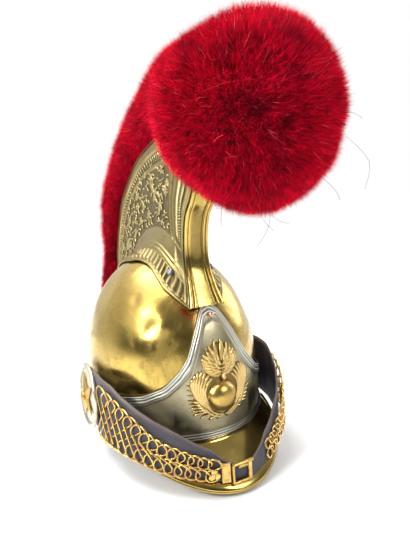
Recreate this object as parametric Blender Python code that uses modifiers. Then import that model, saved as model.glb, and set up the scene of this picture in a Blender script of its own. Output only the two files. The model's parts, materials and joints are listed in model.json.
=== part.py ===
"""Carabinier helmet: brass skull and comb, silvered front plate, visor, chin chain and crimson chenille.

Units are metres and +Z is up. The front looks along -Y and the wearer's right side lies towards -X.
The helmet stands on the floor, at Z = 0, on its visor and its neck guard.
Points are worked out from the middle of the skull, and every object is then set back by SET_BACK.
"""

from math import atan2, cos, degrees, hypot, pi, radians, sin, sqrt

import bmesh
import bpy
from mathutils import Matrix, Vector
from numpy import interp

# The skull, a deep oval bowl that runs straight down below its middle
SKULL_HALF_WIDTH = 0.0957
SKULL_HALF_LENGTH = 0.1204
SKULL_RISE = 0.1256
SKULL_MIDDLE_Z = 0.0975
SKULL_RIM_Z = 0.038
SKULL_WALL = 0.0012
SET_BACK = 0.0258

# Clearances: between faces that touch, and between a plate's flats and the skull's
GAP = 0.0003
SEAT = 0.0011
FOOT_SEAT = 0.0012

# The front plate, with its raised mouldings
PLATE_FOOT_Z = 0.041
PLATE_WING_Z = 0.082
PLATE_PEAK_Z = 0.171
PLATE_TURN = radians(84)
PLATE_WALL = 0.0009
PLATE_LOWER_MOULDING = 0.0075
PLATE_UPPER_MOULDING = 0.0095
PLATE_RELIEF = 0.0016
PLATE_COLUMNS = 26
# Upper edge: share of the turn, share of the height from wing to peak
PLATE_EDGE = ((0.0, 1.0), (0.067, 0.955), (0.099, 0.888), (0.168, 0.685), (0.226, 0.472),
              (0.293, 0.326), (0.395, 0.169), (0.543, 0.056), (0.72, 0.0), (1.0, 0.0))
PLATE_RIVET_Z = 0.1587
PLATE_RIVET_RADIUS = 0.0026

# The grenade, pressed from thin brass
GRENADE_Z = 0.085
GRENADE_HALF_WIDTH = 0.032
GRENADE_FLAME_RISE = 0.063
GRENADE_BALL_RADIUS = 0.0145
GRENADE_BALL_PROUD = 0.0085
GRENADE_LEAF_PROUD = 0.0030
GRENADE_WALL = 0.0009
GRENADE_SPOKES = 44
# Outline: share of the half width, share of the flame's rise
GRENADE_OUTLINE = ((0.0, 1.0), (0.22, 0.95), (0.42, 0.79), (0.46, 0.63), (0.40, 0.48), (0.60, 0.36),
                   (0.84, 0.22), (0.98, 0.03), (1.0, -0.13), (0.82, -0.21), (0.50, -0.27), (0.0, -0.30))

# The comb that carries the chenille
COMB_REACH = 0.140
COMB_TOP_Z = 0.343
COMB_EDGE_HALF_WIDTH = 0.012
COMB_WALL = 0.0012
COMB_RELIEF = 0.0014
COMB_FLARE = 0.36
COMB_COLUMNS = 22
# Shares of the comb's height where its side bends
COMB_ROWS = (0.0, 0.08, 0.18, 0.27, 0.38, 0.5, 0.62, 0.76, 0.9, 1.0)
# Outer edge from the tip to the heel: share of the reach, share of the top's height
COMB_EDGE = ((-0.93, 0.925), (-0.80, 0.974), (-0.607, 0.997), (-0.393, 1.0), (-0.171, 0.988),
             (0.143, 0.956), (0.407, 0.904), (0.643, 0.834), (0.80, 0.758), (0.914, 0.668),
             (0.979, 0.583), (1.0, 0.519))
COMB_HEEL = ((0.965, 0.455), (0.865, 0.402))
# Front ridge from the plate to the tip: share of the reach, share of the top's height
COMB_FRONT = ((-0.721, 0.490), (-0.668, 0.540), (-0.614, 0.607), (-0.607, 0.676), (-0.657, 0.755),
              (-0.75, 0.802), (-0.836, 0.857), (-0.93, 0.925))
# Foot on the skull: share of the foot's length, half width, and angle over the skull from the front
COMB_FOOT_HALF_WIDTH = 0.043
COMB_FOOT = ((0.0, 0.42, 33.5), (0.08, 0.62, 40.0), (0.16, 0.80, 49.0), (0.24, 0.82, 57.0),
             (0.34, 0.80, 69.0), (0.44, 0.86, 80.0), (0.54, 1.0, 90.0), (0.66, 1.0, 104.0),
             (0.78, 0.92, 120.0), (0.90, 0.66, 139.0), (1.0, 0.33, 160.0))
STRIP_WALL = 0.0014
STRIP_BULGE = 0.0025
SPINE_STEPS = 26
SCREW_RADIUS = 0.0033

# The visor and the neck guard: flared brims around the skull
BRIM_WALL = 0.0012
BRIM_EXPONENT = 1.94
BRIM_COLLAR = 0.0024
VISOR_MIDDLE_Y = -0.037
VISOR_HALF_WIDTH = 0.0931
VISOR_REACH = 0.1252
VISOR_TIP_Z = 0.0032
VISOR_SIDE_RISE = 0.0315
VISOR_LEVEL_SHARE = 0.0
VISOR_COLUMNS = 24
VISOR_RIM_WIDTH = 0.0090
VISOR_RIM_THICKNESS = 0.0020
GUARD_MIDDLE_Y = 0.037
GUARD_HALF_WIDTH = 0.0925
GUARD_REACH = 0.113
GUARD_TIP_Z = 0.0003
GUARD_SIDE_RISE = 0.033
GUARD_LEVEL_SHARE = 0.62
VISOR_SIZES = (VISOR_HALF_WIDTH, VISOR_REACH, -VISOR_MIDDLE_Y, VISOR_TIP_Z, VISOR_SIDE_RISE,
               VISOR_LEVEL_SHARE)
GUARD_SIZES = (GUARD_HALF_WIDTH, GUARD_REACH, GUARD_MIDDLE_Y, GUARD_TIP_Z, GUARD_SIDE_RISE,
               GUARD_LEVEL_SHARE)

# The side rosettes
ROSETTE_RADIUS = 0.0357
ROSETTE_Y = -0.008
ROSETTE_Z = 0.070
ROSETTE_BACK_X = 0.1042
ROSETTE_THICKNESS = 0.0026
ROSETTE_RIM_HEIGHT = 0.0040
ROSETTE_TILT = radians(3.5)
ROSETTE_STEPS = 28
ROSETTE_POST_RADIUS = 0.008
STAR_RADIUS = 0.0265
STAR_WAIST = 0.0105
STAR_RISE = 0.0050
STAR_EDGE = 0.0010
STAR_BOSS_RADIUS = 0.0052
STAR_ARMS = 5

# The chin strap, fastened over the visor
STRAP_HALF_WIDTH = 0.104
STRAP_MIDDLE_Y = -0.008
STRAP_REACH = 0.144
STRAP_EXPONENT = 0.90
STRAP_FRONT_BULGE = 0.0045
STRAP_BULGE_HALF_WIDTH = 0.024
STRAP_TUCK = 0.0042
STRAP_LEATHER = 0.0018
STRAP_REAR_TOP_Z = 0.105
STRAP_REAR_FOOT_Z = 0.034
STRAP_STEPS = 18
# Edges from the front to the rosette: share of the turn, share of the height at the rosette
STRAP_TOP = ((0.0, 0.27), (0.07, 0.295), (0.13, 0.35), (0.17, 0.43), (0.27, 0.52), (0.355, 0.61),
             (0.455, 0.69), (0.525, 0.75), (0.67, 0.876), (0.735, 0.95), (0.88, 0.99), (1.0, 0.97))
STRAP_FOOT = ((0.0, 0.28), (0.12, 0.38), (0.22, 0.45), (0.28, 0.51), (0.40, 0.67), (0.48, 0.77),
              (0.60, 0.85), (0.73, 0.97), (1.0, 1.1))
CHAIN_TOP = ((0.0, 0.26), (0.16, 0.36), (0.27, 0.41), (0.37, 0.48), (0.45, 0.53), (0.525, 0.60),
             (0.61, 0.72), (0.73, 0.85), (0.85, 0.93), (1.0, 0.96))
STRAP_MEETING_TURN = radians(-10.6)

# The chain of figure-eight links on each side, and its fittings at the front
CHAIN_WIRE = 0.0024
CHAIN_LINKS = 18
CHAIN_REAR_TURN = radians(76)
CHAIN_LEFT_RISE = 0.0055
CHAIN_LEFT_BOW = 0.0038
CHAIN_SEATED_SHARE = 0.4
CHAIN_FRONT_RIGHT = radians(-14.4)
CHAIN_FRONT_LEFT = radians(15.5)
CHAIN_LIFT = 0.0007
END_PLATE_WIDTH = 0.0085
END_PLATE_THICKNESS = 0.0014
BUCKLE_WIDTH = 0.0205
BUCKLE_HEIGHT = 0.0200
BUCKLE_BAR = 0.0030
BUCKLE_TURN = radians(-2.9)

# The chenille along the comb's outer edge
BALL_Y = -0.192
BALL_Z = 0.3285
BALL_HALF_WIDTH = 0.080
BALL_RADIUS = 0.071
BALL_RISE = 0.0745
CHENILLE_RADIUS = 0.0440
CHENILLE_SINK = 0.06
CHENILLE_STEPS = 28
CHENILLE_SIDES = 14
LOCK_DEPTH = 0.0022
# Seat line past the comb's heel: share of the reach, share of the top's height
CHENILLE_TAIL = ((0.986, 0.437), (0.971, 0.321))
# Radius along the seat line: share of its length, share of the chenille's radius
CHENILLE_GIRTH = ((0.0, 1.0), (0.10, 1.0), (0.19, 0.89), (0.28, 0.80), (0.38, 0.745), (0.48, 0.725),
                  (0.57, 0.76), (0.65, 0.73), (0.74, 0.66), (0.82, 0.70), (0.90, 0.82), (1.0, 0.86))

BRASS = (0.62, 0.44, 0.16)
GILT = (0.70, 0.50, 0.19)
SILVER = (0.52, 0.51, 0.46)
STEEL = (0.20, 0.22, 0.26)
LEATHER = (0.055, 0.058, 0.070)
CRIMSON = (0.52, 0.012, 0.035)


def clear_scene():
    """Remove every object that a new file starts with."""
    for thing in list(bpy.data.objects):
        bpy.data.objects.remove(thing, do_unlink=True)


def material(name, colour, metallic, roughness):
    """Principled material of one colour."""
    found = bpy.data.materials.get(name)
    if found:
        return found
    made = bpy.data.materials.new(name)
    made.use_nodes = True
    shader = made.node_tree.nodes["Principled BSDF"]
    shader.inputs["Base Color"].default_value = (*colour, 1.0)
    shader.inputs["Metallic"].default_value = metallic
    shader.inputs["Roughness"].default_value = roughness
    made.diffuse_color = (*colour, 1.0)
    return made


def collection(name):
    """Collection of that name in the scene."""
    found = bpy.data.collections.get(name)
    if not found:
        found = bpy.data.collections.new(name)
        bpy.context.scene.collection.children.link(found)
    return found


def add_object(name, bm, colour_name, colour, metallic=1.0, roughness=0.3):
    """Turn a bmesh into a visible object of the helmet, set back from the box's middle."""
    mesh = bpy.data.meshes.new(name)
    bm.to_mesh(mesh)
    bm.free()
    thing = bpy.data.objects.new(name, mesh)
    thing.location.y = SET_BACK
    mesh.materials.append(material(colour_name, colour, metallic, roughness))
    collection("carabinier_helmet").objects.link(thing)
    return thing


def add_cutter(name, bm):
    """Turn a bmesh into a hidden helper that only a Boolean modifier reads."""
    mesh = bpy.data.meshes.new(name)
    bm.to_mesh(mesh)
    bm.free()
    thing = bpy.data.objects.new(name, mesh)
    thing.location.y = SET_BACK
    thing.hide_render = True
    thing.display_type = "WIRE"
    collection("helmet_cutters").objects.link(thing)
    return thing


def combine(thing, helper, operation):
    """Boolean modifier with the exact solver."""
    boolean = thing.modifiers.new(operation.lower(), "BOOLEAN")
    boolean.operation = operation
    boolean.solver = "EXACT"
    boolean.object = helper


def grid(columns, rows, place, mirror=False, weld=False):
    """Grid primitive whose corners are placed by place(share across, share up)."""
    bm = bmesh.new()
    bmesh.ops.create_grid(bm, x_segments=columns, y_segments=rows, size=0.5)
    for vert in bm.verts:
        across = round((vert.co.x + 0.5) * columns) / columns
        up = round((vert.co.y + 0.5) * rows) / rows
        vert.co = place(across, up)
        if mirror:
            vert.co.x = -vert.co.x
    if mirror:
        bmesh.ops.reverse_faces(bm, faces=bm.faces)
    if weld:
        bmesh.ops.remove_doubles(bm, verts=bm.verts, dist=0.00005)
    return bm


def thicken(thing, wall):
    """Give an open surface its wall, inwards from the visible face."""
    solidify = thing.modifiers.new("wall", "SOLIDIFY")
    solidify.thickness = wall
    solidify.offset = -1.0
    solidify.use_even_offset = False


def along(points, share):
    """Point at a share of an evenly counted smooth curve through the points."""
    last = len(points) - 1
    place = min(max(share, 0.0), 1.0) * last
    start = min(int(place), last - 1)
    step = place - start
    before = Vector(points[max(start - 1, 0)])
    first = Vector(points[start])
    second = Vector(points[start + 1])
    after = Vector(points[min(start + 2, last)])
    out = (second - before) / 2
    into = (after - first) / 2
    square = step * step
    cube = square * step
    return (first * (2 * cube - 3 * square + 1) + out * (cube - 2 * square + step)
            + second * (3 * square - 2 * cube) + into * (cube - square))


def table(rows, share, column=1):
    """Value read straight between the rows of a table of shares."""
    return float(interp(share, [row[0] for row in rows], [row[column] for row in rows]))


def narrowing(height):
    """Share of its full width that the skull has at a height."""
    if height <= SKULL_MIDDLE_Z:
        return 1.0
    return sqrt(max(0.0, 1.0 - ((height - SKULL_MIDDLE_Z) / SKULL_RISE) ** 2))


def skull_point(angle, height, stand_off):
    """Point off the skull at an angle from the front, positive towards +X, and a height."""
    width = narrowing(height)
    slope = 0.0
    if height > SKULL_MIDDLE_Z:
        slope = (height - SKULL_MIDDLE_Z) / SKULL_RISE
    flat = sqrt(1.0 - slope * slope)
    return Vector(((SKULL_HALF_WIDTH * width + stand_off * flat) * sin(angle),
                   -(SKULL_HALF_LENGTH * width + stand_off * flat) * cos(angle),
                   height + stand_off * slope))


def make_skull():
    """Oval bowl with a straight wall down to its rim."""
    bm = bmesh.new()
    bmesh.ops.create_uvsphere(bm, u_segments=32, v_segments=18, radius=1.0)
    low = [vert for vert in bm.verts if vert.co.z < -0.001]
    bmesh.ops.delete(bm, geom=low, context="VERTS")
    for vert in bm.verts:
        vert.co.x *= SKULL_HALF_WIDTH
        vert.co.y *= SKULL_HALF_LENGTH
        vert.co.z = SKULL_MIDDLE_Z + vert.co.z * SKULL_RISE
    border = [edge for edge in bm.edges if edge.is_boundary]
    wall = bmesh.ops.extrude_edge_only(bm, edges=border)
    for item in wall["geom"]:
        if isinstance(item, bmesh.types.BMVert):
            item.co.z = SKULL_RIM_Z
    bmesh.ops.recalc_face_normals(bm, faces=bm.faces)
    skull = add_object("skull", bm, "brass", BRASS)
    thicken(skull, SKULL_WALL)


def plate_top(turn_share):
    """Height of the front plate's upper edge at a share of its turn."""
    return PLATE_WING_Z + (PLATE_PEAK_Z - PLATE_WING_Z) * table(PLATE_EDGE, turn_share)


def plate_drop(turn_share):
    """Height that the upper moulding takes, more where the edge is steep."""
    step = 0.03
    start = max(turn_share, 0.09)
    rise = plate_top(start + step) - plate_top(start - step)
    run = 2 * step * PLATE_TURN * (SKULL_HALF_WIDTH + SKULL_HALF_LENGTH) / 2
    room = (plate_top(turn_share) - PLATE_FOOT_Z - PLATE_LOWER_MOULDING) * 0.55
    return min(PLATE_UPPER_MOULDING * hypot(1.0, rise / run), room)


def make_front_plate():
    """Plate around the skull's front with a moulding along each long edge."""
    upper = ((0.0, 0.0), (0.28, 1.0), (0.5, 0.35), (0.74, 1.0), (1.0, 0.3))
    lower = ((0.0, 0.3), (0.45, 1.0), (1.0, 0.0))
    field = 5
    rows = len(lower) - 1 + field + len(upper) - 1

    def place(across, up):
        turn = (2 * across - 1) * PLATE_TURN
        top = plate_top(abs(2 * across - 1))
        drop = plate_drop(abs(2 * across - 1))
        row = round(up * rows)
        if row < len(lower):
            height = PLATE_FOOT_Z + PLATE_LOWER_MOULDING * lower[row][0]
            relief = lower[row][1]
        elif row >= len(lower) - 1 + field:
            share = upper[row - len(lower) + 1 - field]
            height = top - drop * (1 - share[0])
            relief = share[1]
        else:
            start = PLATE_FOOT_Z + PLATE_LOWER_MOULDING
            height = start + (top - drop - start) * (row - len(lower) + 1) / field
            relief = 0.0
        return skull_point(turn, height, SEAT + PLATE_WALL + relief * PLATE_RELIEF)

    plate = add_object("front_plate", grid(PLATE_COLUMNS, rows, place), "silver", SILVER)
    thicken(plate, PLATE_WALL)


def make_plate_rivet():
    """Round-headed rivet near the plate's peak."""
    bm = bmesh.new()
    bmesh.ops.create_uvsphere(bm, u_segments=8, v_segments=5, radius=PLATE_RIVET_RADIUS)
    seat = skull_point(0.0, PLATE_RIVET_Z, SEAT + PLATE_WALL + PLATE_RELIEF + PLATE_RIVET_RADIUS)
    bmesh.ops.translate(bm, verts=bm.verts, vec=seat)
    add_object("plate_rivet", bm, "copper", BRASS)


def grenade_point(side, rise, stand_off):
    """Point in front of the plate, sideways and up from the grenade's ball."""
    height = GRENADE_Z + rise
    share = side / (SKULL_HALF_WIDTH * narrowing(height))
    angle = atan2(share, sqrt(1 - share * share))
    return skull_point(angle, height, SEAT + PLATE_WALL + GAP + stand_off)


def make_grenade():
    """Pressed ornament: a ball, a flame of lobes above it and feathered leaves around it."""
    rings = 6
    outline = [Vector((side * GRENADE_HALF_WIDTH, rise * GRENADE_FLAME_RISE, 0.0))
               for side, rise in GRENADE_OUTLINE]
    bearings = [degrees(atan2(point.x, point.y)) for point in outline]
    radii = [point.length for point in outline]

    def place(across, up):
        bearing = (1 - across) * 2 * pi - pi
        notch = 0.94 if round(across * GRENADE_SPOKES) % 2 else 1.03
        edge = float(interp(abs(degrees(bearing)), bearings, radii)) * notch
        inner = GRENADE_BALL_RADIUS
        if up <= 0.5:
            radius = edge + (inner - edge) * up * 2
        else:
            radius = inner * (1 - (up - 0.5) * 2)
        relief = GRENADE_LEAF_PROUD * min(1.0, up * 4)
        if round(across * GRENADE_SPOKES) % 2 and 0.0 < up < 0.5:
            relief *= 0.55
        if up > 0.5:
            relief = GRENADE_BALL_PROUD * sqrt(max(0.0, 1 - (radius / inner) ** 2 * 0.8))
        return grenade_point(radius * sin(bearing), radius * cos(bearing), GRENADE_WALL + relief)

    bm = grid(GRENADE_SPOKES, rings, place, weld=True)
    grenade = add_object("grenade", bm, "gilt", GILT)
    thicken(grenade, GRENADE_WALL)


def comb_outline(points):
    """Points of the comb's side view in metres, from their shares."""
    return [(0.0, y * COMB_REACH, z * COMB_TOP_Z) for y, z in points]


def comb_foot(share):
    """Foot of the comb on the skull: share 0 at the front and 1 at the back."""
    half_width = COMB_FOOT_HALF_WIDTH * table(COMB_FOOT, share)
    over = radians(table(COMB_FOOT, share, 2))
    side = half_width / SKULL_HALF_WIDTH
    rest = sqrt(1.0 - side * side)
    seat = FOOT_SEAT + COMB_WALL
    return Vector((half_width, -(SKULL_HALF_LENGTH + seat) * rest * cos(over),
                   SKULL_MIDDLE_Z + (SKULL_RISE + seat) * rest * sin(over)))


def off_the_skull(point):
    """The point, or the nearest place outside the skull where it lies too close."""
    seat = FOOT_SEAT + COMB_WALL
    shares = (point.x / (SKULL_HALF_WIDTH + seat), point.y / (SKULL_HALF_LENGTH + seat),
              (point.z - SKULL_MIDDLE_Z) / (SKULL_RISE + seat))
    depth = sqrt(sum(share * share for share in shares))
    if depth >= 1.0:
        return point
    return Vector((point.x / depth, point.y / depth,
                   SKULL_MIDDLE_Z + (point.z - SKULL_MIDDLE_Z) / depth))


def comb_side(across, up):
    """Smooth side of the comb: across from front to back, up from the foot to the outer edge."""
    edge = comb_outline(COMB_EDGE + COMB_HEEL)
    front = comb_outline(COMB_FRONT)
    foot = comb_foot(across)
    top = along(edge, across)
    ridge = along(front, up)
    start = comb_foot(0.0)
    straight = start.lerp(Vector(front[-1]), up)
    point = foot.lerp(top, up)
    point += (ridge - straight) * (1 - across) ** 2
    flare = max(0.0, 1 - up / COMB_FLARE)
    point.x = COMB_EDGE_HALF_WIDTH + (foot.x - COMB_EDGE_HALF_WIDTH) * flare ** 1.8
    return off_the_skull(point)


def comb_relief(across, up):
    """Raised work on the comb's side: border, arch moulding, foliage and slanted ribs."""
    border = 1.0 if up > 0.93 else 0.0
    arch = 1.0 if 0.27 < up < 0.36 else 0.0
    ribs = 0.0
    if 0.02 < up < 0.25 and 0.08 < across < 0.9:
        ribs = 1.0 if round(across * COMB_COLUMNS) % 2 else 0.0
    leaf = 0.0
    if 0.4 < up < 0.85:
        leaf = 0.7 * max(0.0, sin(across * 9 * pi)) * sin((up - 0.4) / 0.45 * pi)
    return COMB_RELIEF * max(border, arch, ribs, leaf)


def comb_face(across, up):
    """Side of the comb with its raised work."""
    small = 0.004
    there = comb_side(min(across + small, 1.0), up) - comb_side(max(across - small, 0.0), up)
    upward = comb_side(across, min(up + small, 1.0)) - comb_side(across, max(up - small, 0.0))
    normal = there.cross(upward).normalized()
    return comb_side(across, up) + normal * comb_relief(across, up)


def make_comb_sides():
    """Two cast sides that flare out on to the skull."""
    rows = len(COMB_ROWS) - 1

    def place(across, up):
        return comb_face(across, COMB_ROWS[round(up * rows)])

    for name, mirror in (("comb_left", False), ("comb_right", True)):
        bm = grid(COMB_COLUMNS, rows, place, mirror=mirror)
        side = add_object(name, bm, "brass", BRASS)
        thicken(side, COMB_WALL)


def strip_point(line, share, side, lift):
    """Point over a line in the middle plane, side from -1 to 1, lifted outwards."""
    step = 0.01
    ahead = along(line, min(share + step, 1.0)) - along(line, max(share - step, 0.0))
    outward = Vector((0.0, -ahead.z, ahead.y)).normalized()
    return along(line, share) + outward * lift + Vector((side, 0.0, 0.0))


def make_comb_front():
    """Plain polished strip down the comb's front edge."""
    line = comb_outline(COMB_FRONT)
    rows = len(COMB_ROWS) - 1

    def place(across, up):
        share = COMB_ROWS[round(up * rows)]
        foot = comb_side(0.0, share).x
        side = (2 * across - 1) * (foot + COMB_RELIEF)
        bulge = STRIP_BULGE * (1 - (2 * across - 1) ** 2)
        return strip_point(line, share, side, GAP + COMB_RELIEF + STRIP_WALL + bulge)

    bm = grid(4, rows, place)
    strip = add_object("comb_front", bm, "gilt", GILT)
    thicken(strip, STRIP_WALL)


def spine_share(step):
    """Share of the comb's outer edge that the spine covers, short of its tip and heel."""
    return 0.02 + 0.97 * step


def make_comb_spine():
    """Strip along the comb's outer edge, under the chenille."""
    line = comb_outline(COMB_EDGE + COMB_HEEL)

    def place(across, up):
        side = (2 * across - 1) * (COMB_EDGE_HALF_WIDTH + COMB_RELIEF)
        return strip_point(line, spine_share(up), side, GAP + COMB_RELIEF + STRIP_WALL)

    bm = grid(2, SPINE_STEPS, place)
    spine = add_object("comb_spine", bm, "brass", BRASS)
    thicken(spine, STRIP_WALL)


def make_comb_screws():
    """A domed screw on each side of the comb, near the front."""
    for name, mirror in (("comb_screw_left", False), ("comb_screw_right", True)):
        bm = bmesh.new()
        bmesh.ops.create_uvsphere(bm, u_segments=8, v_segments=6, radius=SCREW_RADIUS)
        small = 0.01
        across, up = 0.19, 0.14
        there = comb_side(across + small, up) - comb_side(across - small, up)
        upward = comb_side(across, up + small) - comb_side(across, up - small)
        normal = there.cross(upward).normalized()
        seat = comb_side(across, up) + normal * (COMB_RELIEF + SCREW_RADIUS)
        bmesh.ops.translate(bm, verts=bm.verts, vec=seat)
        if mirror:
            bmesh.ops.transform(bm, matrix=Matrix.Scale(-1, 4, Vector((1, 0, 0))), verts=bm.verts)
            bmesh.ops.reverse_faces(bm, faces=bm.faces)
        add_object(name, bm, "steel", STEEL)


def brim_edge(bearing, half_width, reach):
    """Distance of a brim's outer edge from its middle, at a bearing from straight ahead."""
    wide = abs(sin(bearing)) / half_width
    long = abs(cos(bearing)) / reach
    return (wide ** BRIM_EXPONENT + long ** BRIM_EXPONENT) ** (-1 / BRIM_EXPONENT)


def brim_root(bearing, middle, stand_off):
    """Distance of the skull's wall from a brim's middle, which lies ahead of the skull's own."""
    wide = SKULL_HALF_WIDTH + stand_off
    long = SKULL_HALF_LENGTH + stand_off
    a = (sin(bearing) / wide) ** 2 + (cos(bearing) / long) ** 2
    b = 2 * cos(bearing) * middle / long ** 2
    c = (middle / long) ** 2 - 1
    return (-b + sqrt(b * b - 4 * a * c)) / (2 * a)


def brim_surface(bearing, out, sizes):
    """Upper face of a brim: out from 0 at the skull to 1 at the edge. Ahead is +Y here."""
    half_width, reach, middle, tip_z, side_rise, level_share = sizes
    edge = brim_edge(bearing, half_width, reach)
    root = brim_root(bearing, middle, SEAT + BRIM_WALL)
    edge = max(edge, root + BRIM_WALL)
    radius = root + (edge - root) * out
    aside = max(0.0, edge * abs(sin(bearing)) / half_width - level_share) / (1 - level_share)
    edge_z = tip_z + side_rise * aside ** 2
    height = SKULL_RIM_Z + (edge_z - SKULL_RIM_Z) * out
    return Vector((radius * sin(bearing), middle + radius * cos(bearing), height))


def brim_slope(bearing, sizes):
    """Length along the brim for each step outwards from the skull."""
    start = brim_surface(bearing, 0.0, sizes)
    end = brim_surface(bearing, 1.0, sizes)
    run = hypot(end.x - start.x, end.y - start.y)
    return min(hypot(1.0, (start.z - end.z) / run), 2.5)


def visor_height(x, y):
    """Height of the rim's top over the visor at a place seen from above, or the floor beyond it."""
    bearing = atan2(-x, -y + VISOR_MIDDLE_Y)
    radius = hypot(x, -y + VISOR_MIDDLE_Y)
    edge = brim_edge(bearing, VISOR_HALF_WIDTH, VISOR_REACH)
    root = brim_root(bearing, -VISOR_MIDDLE_Y, SEAT + BRIM_WALL)
    if radius > edge + BRIM_WALL or radius < root:
        return 0.0
    out = (radius - root) / (edge - root)
    lift = (GAP + VISOR_RIM_THICKNESS) * brim_slope(bearing, VISOR_SIZES)
    return brim_surface(bearing, out, VISOR_SIZES).z + lift


def brim_grid(columns, rows, sizes, turned, lift=0.0, shares=None, collar=True, sweep=pi):
    """Brim from its edge in to the skull, then up the skull as a collar."""
    def place(across, up):
        bearing = (across - 0.5) * sweep
        row = round(up * rows)
        if collar and row == rows:
            point = brim_surface(bearing, 0.0, sizes)
            point.z += BRIM_COLLAR
        else:
            out = shares[row]
            point = brim_surface(bearing, out, sizes)
            point.z += lift * brim_slope(bearing, sizes)
        if turned:
            return Vector((-point.x, -point.y, point.z))
        return point

    bm = grid(columns, rows, place)
    bmesh.ops.recalc_face_normals(bm, faces=bm.faces)
    upward = sum((face.normal.z * face.calc_area() for face in bm.faces), 0.0)
    if upward < 0:
        bmesh.ops.reverse_faces(bm, faces=bm.faces)
    return bm


def make_visor():
    """Front brim, its edge a little short of the rim's."""
    shares = (0.985, 0.8, 0.4, 0.0)
    bm = brim_grid(VISOR_COLUMNS, 4, VISOR_SIZES, True, shares=shares)
    visor = add_object("visor", bm, "brass", BRASS)
    thicken(visor, BRIM_WALL)


def make_visor_rim():
    """Raised bead along the visor's edge."""
    tip_width = VISOR_REACH - brim_root(0.0, -VISOR_MIDDLE_Y, SEAT + BRIM_WALL)
    inner = 1 - VISOR_RIM_WIDTH / tip_width
    shares = (1.0, (1 + inner) / 2, inner)
    columns = VISOR_COLUMNS - 4
    lift = GAP + VISOR_RIM_THICKNESS
    bm = brim_grid(columns, 2, VISOR_SIZES, True, lift=lift, shares=shares, collar=False,
                   sweep=pi * columns / VISOR_COLUMNS)
    rim = add_object("visor_rim", bm, "brass", BRASS)
    thicken(rim, VISOR_RIM_THICKNESS)


def make_neck_guard():
    """Rear brim, trimmed flat where it stands on the floor."""
    bm = brim_grid(24, 4, GUARD_SIZES, False, shares=(1.0, 0.66, 0.33, 0.0))
    guard = add_object("neck_guard", bm, "brass", BRASS)
    thicken(guard, BRIM_WALL)
    floor = bmesh.new()
    bmesh.ops.create_cube(floor, size=2 * GUARD_REACH)
    bmesh.ops.translate(floor, verts=floor.verts, vec=(0.0, GUARD_REACH, -GUARD_REACH))
    combine(guard, add_cutter("floor_trim", floor), "DIFFERENCE")


def make_rosettes():
    """Turned disc with a raised rim on each side, its post reaching the strap behind it."""
    lean = ROSETTE_POST_RADIUS * sin(ROSETTE_TILT)
    inside = ROSETTE_BACK_X - STRAP_HALF_WIDTH + STRAP_TUCK - STRAP_LEATHER - GAP - lean
    profile = ((0.0, ROSETTE_THICKNESS), (0.45, ROSETTE_THICKNESS * 0.95),
               (0.84, ROSETTE_THICKNESS * 0.6), (0.92, ROSETTE_RIM_HEIGHT), (1.0, ROSETTE_RIM_HEIGHT * 0.6),
               (1.0, 0.0))
    for name, side in (("rosette_left", 1), ("rosette_right", -1)):
        bm = bmesh.new()
        points = [(share * ROSETTE_RADIUS, height) for share, height in profile]
        points += [(ROSETTE_POST_RADIUS, 0.0), (ROSETTE_POST_RADIUS, -inside), (0.0, -inside)]
        verts = [bm.verts.new((x, 0.0, z)) for x, z in points]
        for first, second in zip(verts, verts[1:]):
            bm.edges.new((first, second))
        rosette = add_object(name, bm, "silver", SILVER)
        rosette.location = (side * ROSETTE_BACK_X, ROSETTE_Y + SET_BACK, ROSETTE_Z)
        rosette.rotation_euler = (0.0, side * (pi / 2 - ROSETTE_TILT), 0.0)
        turn = rosette.modifiers.new("turn", "SCREW")
        turn.steps = ROSETTE_STEPS
        turn.render_steps = ROSETTE_STEPS
        turn.use_merge_vertices = True
        turn.merge_threshold = 0.00005


def make_stars():
    """Five ridged arms rising to a round boss, lying on each rosette."""
    for name, side in (("star_left", 1), ("star_right", -1)):
        bm = bmesh.new()
        bmesh.ops.create_circle(bm, cap_ends=True, segments=2 * STAR_ARMS, radius=STAR_RADIUS)
        corners = sorted(bm.verts, key=lambda vert: atan2(vert.co.y, vert.co.x))
        for index, vert in enumerate(corners):
            if index % 2 == 0:
                vert.co *= STAR_WAIST / STAR_RADIUS
        raised = bmesh.ops.extrude_face_region(bm, geom=list(bm.faces))
        upper = [item for item in raised["geom"] if isinstance(item, bmesh.types.BMVert)]
        bmesh.ops.translate(bm, verts=upper, vec=(0.0, 0.0, STAR_EDGE))
        top = max(bm.faces, key=lambda face: face.calc_center_median().z)
        peak = bmesh.ops.poke(bm, faces=[top])["verts"]
        bmesh.ops.translate(bm, verts=peak, vec=(0.0, 0.0, STAR_RISE - STAR_EDGE))
        bmesh.ops.recalc_face_normals(bm, faces=bm.faces)
        star = add_object(name, bm, "gilt", GILT)
        boss = bmesh.new()
        bmesh.ops.create_uvsphere(boss, u_segments=10, v_segments=6, radius=STAR_BOSS_RADIUS)
        bmesh.ops.scale(boss, verts=boss.verts, vec=(1.0, 1.0, 0.6))
        bmesh.ops.translate(boss, verts=boss.verts, vec=(0.0, 0.0, STAR_RISE - STAR_EDGE))
        helper = add_cutter(name + "_boss", boss)
        seat = Matrix.Rotation(side * (pi / 2 - ROSETTE_TILT), 4, "Y")
        lift = seat @ Vector((0.0, 0.0, ROSETTE_THICKNESS + GAP))
        for thing in (star, helper):
            thing.rotation_euler = (0.0, side * (pi / 2 - ROSETTE_TILT), 0.0)
            thing.location = Vector((side * ROSETTE_BACK_X, ROSETTE_Y + SET_BACK, ROSETTE_Z)) + lift
        combine(star, helper, "UNION")


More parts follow.
